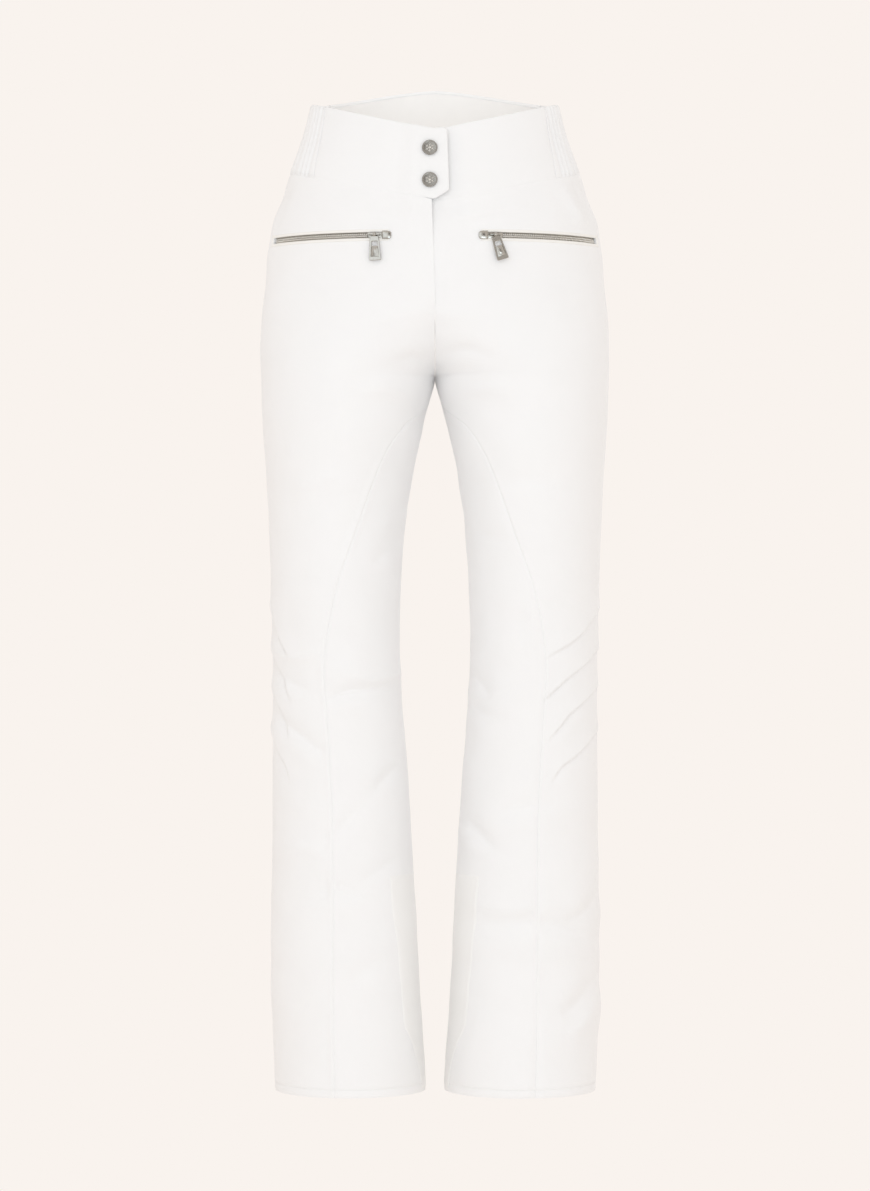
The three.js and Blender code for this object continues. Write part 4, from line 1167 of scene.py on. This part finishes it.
class Paint:
    """A material and the one way that nodes are added to it."""

    def __init__(self, name, **fixed):
        self.material = bpy.data.materials.new(name)
        self.material.use_nodes = True
        self.tree = self.material.node_tree
        self.shader = self.tree.nodes["Principled BSDF"]
        for key, value in fixed.items():
            self.shader.inputs[key.replace("_", " ")].default_value = value

    def node(self, kind, settings=None, values=(), output=0):
        node = self.tree.nodes.new(kind)
        for key, value in (settings or {}).items():
            if key == "stops":
                for stop, (at, colour) in zip(node.color_ramp.elements, value):
                    stop.position, stop.color = at, colour
            else:
                setattr(node, key, value)
        pairs = values.items() if isinstance(values, dict) else enumerate(values)
        for key, value in pairs:
            if isinstance(value, Val):
                self.tree.links.new(value.socket, node.inputs[key])
            else:
                node.inputs[key].default_value = value
        return Val(self, node.outputs[output])

    def feed(self, socket, value):
        self.tree.links.new(value.socket, self.shader.inputs[socket])

    def object_coordinates(self):
        return self.node("ShaderNodeTexCoord", output="Object")

    def noise(self, where, scale, detail=3.0):
        return self.node("ShaderNodeTexNoise", values={"Vector": where, "Scale": scale, "Detail": detail})

    def split(self, vector):
        node = self.tree.nodes.new("ShaderNodeSeparateXYZ")
        self.tree.links.new(vector.socket, node.inputs[0])
        return [Val(self, node.outputs[k]) for k in range(3)]

    def wave(self, value, times):
        return self.node("ShaderNodeMath", {"operation": "SINE"}, (value * times,))

    def mix(self, factor, low, high):
        return self.node("ShaderNodeMix", {"data_type": "RGBA"}, {0: factor, 6: low, 7: high}, output=2)

    def tint(self, factor, low, high):
        return self.mix(factor, (*low, 1), (*high, 1))

    def bump(self, height, distance, strength=1.0):
        values = {"Strength": strength, "Distance": distance, "Height": height}
        self.feed("Normal", self.node("ShaderNodeBump", values=values))


def weave_height(paint, pitch):
    """Threads over and under each other, from the weave map in metres."""
    u, v, _ = paint.split(paint.node("ShaderNodeUVMap", {"uv_map": "weave"}))
    k = 2 * math.pi / pitch
    return paint.wave(u + v * 0.5, k) * paint.wave(v - u * 0.25, k)


def softshell(name, low=(0.865, 0.867, 0.872), high=(0.905, 0.907, 0.912), pitch=0.00085):
    paint = Paint(name, Roughness=0.72, Sheen_Weight=0.25, Sheen_Roughness=0.45)
    paint.shader.inputs["Specular IOR Level"].default_value = 0.28
    where = paint.object_coordinates()
    slub = paint.noise(where, 26, 4)
    fuzz = paint.noise(where, 900, 2)
    paint.feed("Base Color", paint.tint(slub * 0.6 + fuzz * 0.4, low, high))
    paint.feed("Roughness", 0.66 + 0.14 * paint.noise(where, 300, 2))
    height = weave_height(paint, pitch) * 0.5 + fuzz * 0.8 + paint.noise(where, 60, 3) * 2.2
    paint.bump(height, 0.00012, 0.7)
    return paint.material


def lining_cloth(name, low, high, pitch=0.0006, painted_shade_band=None):
    """A fine plain weave; the last argument gives the level and half-width of a dark band painted along it
    as shade between a zip's teeth.
    """
    paint = Paint(name, Roughness=0.6, Sheen_Weight=0.1)
    where = paint.object_coordinates()
    x, y, z = paint.split(where)
    k = 2 * math.pi / pitch
    threads = paint.wave(x + y, k) * paint.wave(z, k)
    colour = paint.tint(paint.noise(where, 60, 3), low, high)
    if painted_shade_band:
        # Painted shade: a dark band along the tape, standing in for the shadow between the zip's teeth.
        away = paint.node("ShaderNodeMath", {"operation": "ABSOLUTE"}, (z - painted_shade_band[0],))
        inside = paint.node("ShaderNodeMath", {"operation": "LESS_THAN"}, (away, painted_shade_band[1]))
        colour = paint.mix(inside, colour, (0.3, 0.265, 0.215, 1))
    paint.feed("Base Color", colour)
    paint.feed("Roughness", 0.5 + 0.2 * paint.noise(where, 240, 2))
    paint.bump(threads * 0.4 + paint.noise(where, 120, 3), 0.00012, 0.6)
    return paint.material


def worked_metal(name, low, high, roughness):
    """Metal with a cloudy tone and fine scratches."""
    paint = Paint(name, Metallic=1.0)
    where = paint.object_coordinates()
    fine = paint.noise(where, 2700, 2)
    paint.feed("Base Color", paint.tint(paint.noise(where, 420, 4), low, high))
    paint.feed("Roughness", roughness + 0.16 * (fine - 0.5))
    paint.bump(fine, 0.000012, 0.35)
    return paint.material


def rubber(name):
    paint = Paint(name, Roughness=0.5)
    where = paint.object_coordinates()
    _, _, z = paint.split(where)
    paint.feed("Base Color", paint.tint(paint.noise(where, 90), (0.72, 0.71, 0.69), (0.8, 0.79, 0.77)))
    paint.bump(paint.wave(z, 2 * math.pi / 0.0035), 0.0005, 0.8)
    return paint.material


shell = softshell("white softshell")
guard = softshell("tough white weave", (0.862, 0.86, 0.852), (0.9, 0.898, 0.89), 0.0013)
binding = softshell("warm white binding", (0.84, 0.83, 0.80), (0.88, 0.87, 0.84))
taffeta = lining_cloth("off-white taffeta", (0.925, 0.92, 0.91), (0.955, 0.95, 0.94))
tape_weave = lining_cloth("woven zip tape", (0.86, 0.83, 0.76), (0.91, 0.88, 0.81), 0.0009)
# The pocket tapes carry a painted shade band along the middle of the chain.
pocket_tape = lining_cloth("zip tape with painted shade", (0.91, 0.88, 0.81), (0.95, 0.92, 0.86), 0.0009,
                           painted_shade_band=(HEM_Z + ZIP_LEVEL / 1000, 0.0031))
silicone = rubber("pale silicone")
nickel = worked_metal("satin nickel", (0.39, 0.37, 0.335), (0.51, 0.487, 0.448), 0.24)
brushed = worked_metal("brushed nickel", (0.275, 0.26, 0.236), (0.375, 0.357, 0.33), 0.28)
bright = worked_metal("polished nickel", (0.77, 0.75, 0.71), (0.87, 0.85, 0.81), 0.24)
teeth_metal = worked_metal("zip teeth", (0.84, 0.81, 0.75), (0.94, 0.91, 0.86), 0.3)
thread = lining_cloth("white thread", (0.86, 0.855, 0.84), (0.92, 0.915, 0.905), 0.0004)

# ---------- Build ----------
repeats = repeat_tree()
tooth = hidden_shape("tooth shape", tooth_shape)
stitch = hidden_shape("stitch shape", stitch_shape)


def fit(piece, body, slot, *nodes, cut=None, on=None):
    """What a piece rides on and the solids it stands for.

    cut is the flat width and the least length in metres, from which a length is worked out but not kept; on,
    the piece that the cloth hangs from, is not used.
    """
    if nodes:
        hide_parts(*nodes)
    if cut:
        area = sum(p.area for p in piece.data.polygons) / 2
        max(cut[1], area / cut[0])
    if body:
        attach(piece, body)


def leg_pieces(name, side):
    lower = f"{name}_lower_leg"
    knee_top, knee_foot = (tuple(place(np.array([0.0, 0.0, KNEE + k * KNEE_REACH]))) for k in (1, -1))
    stitched = int(np.flatnonzero(HEM_ROWS == HEM_STITCH)[0])
    panels = (
        (outer_front, "front_cloth", ("front_panel", "knee_darted_panel", "shin_outer_panel"),
         (0.262, 0.98)),
        (inner_front, "inner_front_cloth", ("inner_thigh_panel", "knee_inner_panel", "shin_inner_panel"),
         (0.165, 0.735)),
        (whole_back, "back_cloth", ("back_panel", "knee_back_panel", "calf_panel"), (0.31, 1.0)),
    )
    for build, label, nodes, cut in panels:
        piece, outer, out = build(side, f"{name}_{label}", shell)
        line, up = outer[stitched] + out[stitched] * 0.1, out[stitched]
        fit(stitch_row(f"{name}_{label}_hem_stitches", line, up, STITCH_PITCH, thread), lower, "shell")
        fit(piece, None, "shell", *(f"{name}_{node}" for node in nodes), cut=cut, on=f"{name}_elastic_cloth")
        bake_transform(piece)
    front = f"{name}_front_cloth"
    fit(hem_facing(f"{name}_hem_facing_cloth", side, shell), lower, "shell", f"{name}_hem_facing",
        cut=(0.45, 0.012), on=front)
    fit(gaiter(f"{name}_gaiter_cloth", side, taffeta), lower, "lining", f"{name}_snow_gaiter",
        cut=(0.5, 0.19), on=front)
    fit(gripper(f"{name}_gripper_band", side, silicone), lower, "grip", f"{name}_gaiter_gripper",
        cut=(0.3, 0.018), on=f"{name}_gaiter_cloth")
    fit(scuff_guard(f"{name}_scuff_guard", side, guard), lower, "shell", cut=(0.12, 0.235),
        on=f"{name}_back_cloth")


def pocket_pieces(name, side):
    label = f"{name}_pocket"
    for half, row in (("upper", 1), ("lower", -1)):
        low, high = sorted((TAPE_EDGES[0] * row, TAPE_EDGES[1] * row))
        fit(zip_tape(f"{label}_{half}_tape_cloth", side, low, high, pocket_tape), HIPS, "tape",
            f"{label}_{half}_tape", cut=(0.165, 0.0105), on=f"{name}_front_cloth")
        fit(zip_teeth(f"{label}_{half}_chain", side, row, teeth_metal), HIPS, "teeth",
            f"{label}_{half}_teeth")
    fit(end_stop(f"{label}_end_stop", side, nickel), HIPS, "nickel")
    fit(welt(f"{label}_welt", side, binding), HIPS, "shell")
    fit(soft_copy(f"{label}_bag", f"{label}_bag_cloth", taffeta), HIPS, "lining", f"{label}_bag",
        cut=(0.2, 0.28), on=f"{label}_upper_tape_cloth")
    fit(refined(f"{label}_slider", f"{label}_slider_body", nickel, 0.25), f"{label}_slider", "nickel",
        f"{label}_slider")
    fit(pull_piece(f"{label}_tapered_pull", side, PULL_SWAY[name], nickel), f"{label}_pull", "nickel",
        f"{label}_pull")


def waist_pieces():
    for name, side in SIDES.items():
        fit(gathered_side(f"{name}_elastic_cloth", side, shell), HIPS, "rib", f"{name}_elastic_side",
            cut=(0.19, BAND_CUT), on=f"{name}_front_cloth")
    strips = (
        (left_band, "left_waistband_cloth", shell, "shell", "left_waistband_with_underlap", 0.15),
        (back_band, "back_waistband_cloth", shell, "shell", "back_waistband", 0.21),
        (band_lining, "waistband_lining", taffeta, "lining", "waistband_facing", 0.72),
    )
    for build, name, material, slot, node, width in strips:
        fit(build(name, material), HIPS, slot, node, cut=(width, BAND_CUT), on="left_front_cloth")
    tab = right_band_with_tab("right_waistband_cloth", shell)
    fit(tab, None, "shell", "right_waistband", "waistband_tab", cut=(0.16, BAND_CUT), on="right_front_cloth")
    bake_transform(tab)


def snap_pieces():
    back_face = TAB_LIFT - CLOTH - 0.5
    seat = 0.5 - UNDERLAP_DROP
    rim = seat + 1.0
    under = -UNDERLAP_DROP - CLOTH - 0.5
    shapes = {
        "socket": (TAB, [(0, back_face - 0.5), (2.7, back_face - 0.5), (2.7, rim), (4.4, rim),
                         (5.1, rim + 0.25), (5.5, rim + 0.9), (5.5, back_face), (0, back_face)]),
        "stud": (HIPS, [(0, seat), (5.2, seat), (5.5, seat + 0.25), (5.5, seat + 0.5), (5.2, seat + 0.7),
                        (2.4, seat + 0.7), (2.15, seat + 1.0), (2.15, back_face - 1.1),
                        (1.7, back_face - 0.8), (0, back_face - 0.75)]),
        "rivet": (HIPS, [(0, under - 0.8), (4.4, under - 0.8), (4.9, under - 0.5), (5.0, under - 0.2),
                         (4.9, under), (1.5, under), (1.5, seat - 0.3), (0, seat - 0.3)]),
    }
    for row, height in zip(("upper", "lower"), SNAP_HEIGHTS):
        fit(snap_cap(f"{row}_snap_cap_disc", height, brushed), TAB, "nickel", f"{row}_snap_cap")
        fit(snap_crystal(f"{row}_snap_crystal", height, bright), TAB, "nickel")
        at, out = snap_place(height, 0)
        for kind, (rider, profile) in shapes.items():
            piece = turned(f"{row}_snap_{kind}_disc", profile, at, out, nickel, 40)
            fit(piece, rider, "nickel", f"{row}_snap_{kind}")


def fly_pieces():
    for node, material in (("fly_facing", shell), ("fly_shield", taffeta)):
        fit(soft_copy(node, f"{node}_cloth", material, 0.15), HIPS, "shell", node, cut=(0.06, 0.13),
            on="right_front_cloth")
    for name in SIDES:
        node = f"fly_zip_{name}_half"
        fit(soft_copy(node, f"fly_zip_{name}_tape", tape_weave, 0.05), HIPS, "tape", node,
            cut=(0.025, 0.11), on="fly_shield_cloth")
    for node in ("fly_slider", "fly_pull"):
        fit(refined(node, f"{node}_body", nickel, 0.25), "fly_slider", "nickel", node)


for side_name, side in SIDES.items():
    leg_pieces(side_name, side)
    pocket_pieces(side_name, side)
waist_pieces()
snap_pieces()
fly_pieces()


# ---------- Camera, floor and light ----------
def add_object(name, data, at, aim=None):
    made = bpy.data.objects.new(name, data)
    bpy.context.scene.collection.objects.link(made)
    made.location = at
    if aim is not None:
        made.rotation_euler = (Vector(aim) - Vector(at)).to_track_quat("-Z", "Y").to_euler()
    return made


DISTANCE = 4.7
VIEW_WIDTH = 0.9309
SENSOR = 36
EYE_LEVEL = HEM_Z + 0.5286

lens = bpy.data.cameras.new("camera")
lens.sensor_fit = "HORIZONTAL"
lens.sensor_width = SENSOR
lens.lens = SENSOR * DISTANCE / VIEW_WIDTH
lens.clip_end = 60
camera = add_object("camera", lens, (0, -DISTANCE, EYE_LEVEL), (0, 0, EYE_LEVEL))
bpy.context.scene.camera = camera

CREAM = (0.947, 0.896, 0.855)
world = bpy.data.worlds.new("studio")
world.use_nodes = True
sky = world.node_tree.nodes["Background"]
sky.inputs["Color"].default_value = (*CREAM, 1)
sky.inputs["Strength"].default_value = 1.0
bpy.context.scene.world = world
bpy.context.scene.view_settings.view_transform = "Standard"


def softbox(name, at, aim, size, power, colour=(1, 1, 1)):
    light = bpy.data.lights.new(name, "AREA")
    light.shape = "RECTANGLE"
    light.size, light.size_y = size
    light.energy = power
    light.color = colour
    return add_object(name, light, at, aim)


COOL = (0.7, 0.875, 1.0)
middle = (0, 0, HEM_Z + 0.55)
waist = HEM_Z + FRONT_TOP / 1000
softbox("key light", (-1.5, -3.6, HEM_Z + 1.9), middle, (2.4, 2.6), 16, COOL)
softbox("fill light", (0.9, -4.3, HEM_Z + 0.3), middle, (2.0, 1.4), 23, COOL)
softbox("rear light", (0.9, 3.6, HEM_Z + 1.5), middle, (2.0, 2.4), 14, (0.72, 0.88, 1.0))
softbox("waist light", (0, -0.045, waist - 0.03), (0, 0.095, waist + 0.01), (0.17, 0.02), 0.058,
        (1, 0.95, 0.9))
beam = bpy.data.lights.new("seat light", "SPOT")
beam.energy, beam.color, beam.shadow_soft_size = 17, (0.85, 0.93, 1.0), 0.3
beam.spot_size, beam.spot_blend = math.radians(6.5), 1
add_object("seat light", beam, (0, -2.5, HEM_Z + 0.6), (0, 0, HEM_Z + 0.785))


def flag(name, at, aim, size):
    """A dark card that the metal pieces mirror, out of the camera's sight."""
    mesh = bpy.data.meshes.new(name)
    w, h = size[0] / 2, size[1] / 2
    mesh.from_pydata([(-w, -h, 0), (w, -h, 0), (w, h, 0), (-w, h, 0)], [], [(0, 1, 2, 3)])
    mesh.materials.append(card)
    made = add_object(name, mesh, at, aim)
    made.visible_camera = False
    made.visible_diffuse = False
    made.visible_shadow = False


card = Paint("dark card", Base_Color=(0.05, 0.045, 0.04, 1), Roughness=0.9).material
metal_level = (0, 0, HEM_Z + 0.95)
flag("front flag", (0.75, -4.0, HEM_Z + 2.3), metal_level, (1.3, 1.5))
flag("left flag", (-2.3, -3.0, HEM_Z + 0.9), metal_level, (0.5, 2.2))
flag("low flag", (-0.6, -3.4, HEM_Z - 0.1), metal_level, (1.6, 0.5))

floor_mesh = bpy.data.meshes.new("floor")
bm = bmesh.new()
bmesh.ops.create_circle(bm, cap_ends=True, segments=96, radius=2.3)
bm.to_mesh(floor_mesh)
bm.free()
pale = Paint("pale floor", Roughness=0.85)
mottle = pale.noise(pale.object_coordinates(), 3)
pale.feed("Base Color", pale.tint(mottle, (0.93, 0.885, 0.85), (0.95, 0.905, 0.87)))
floor_mesh.materials.append(pale.material)
floor = add_object("floor", floor_mesh, (0, 0, HEM_Z - 0.46))
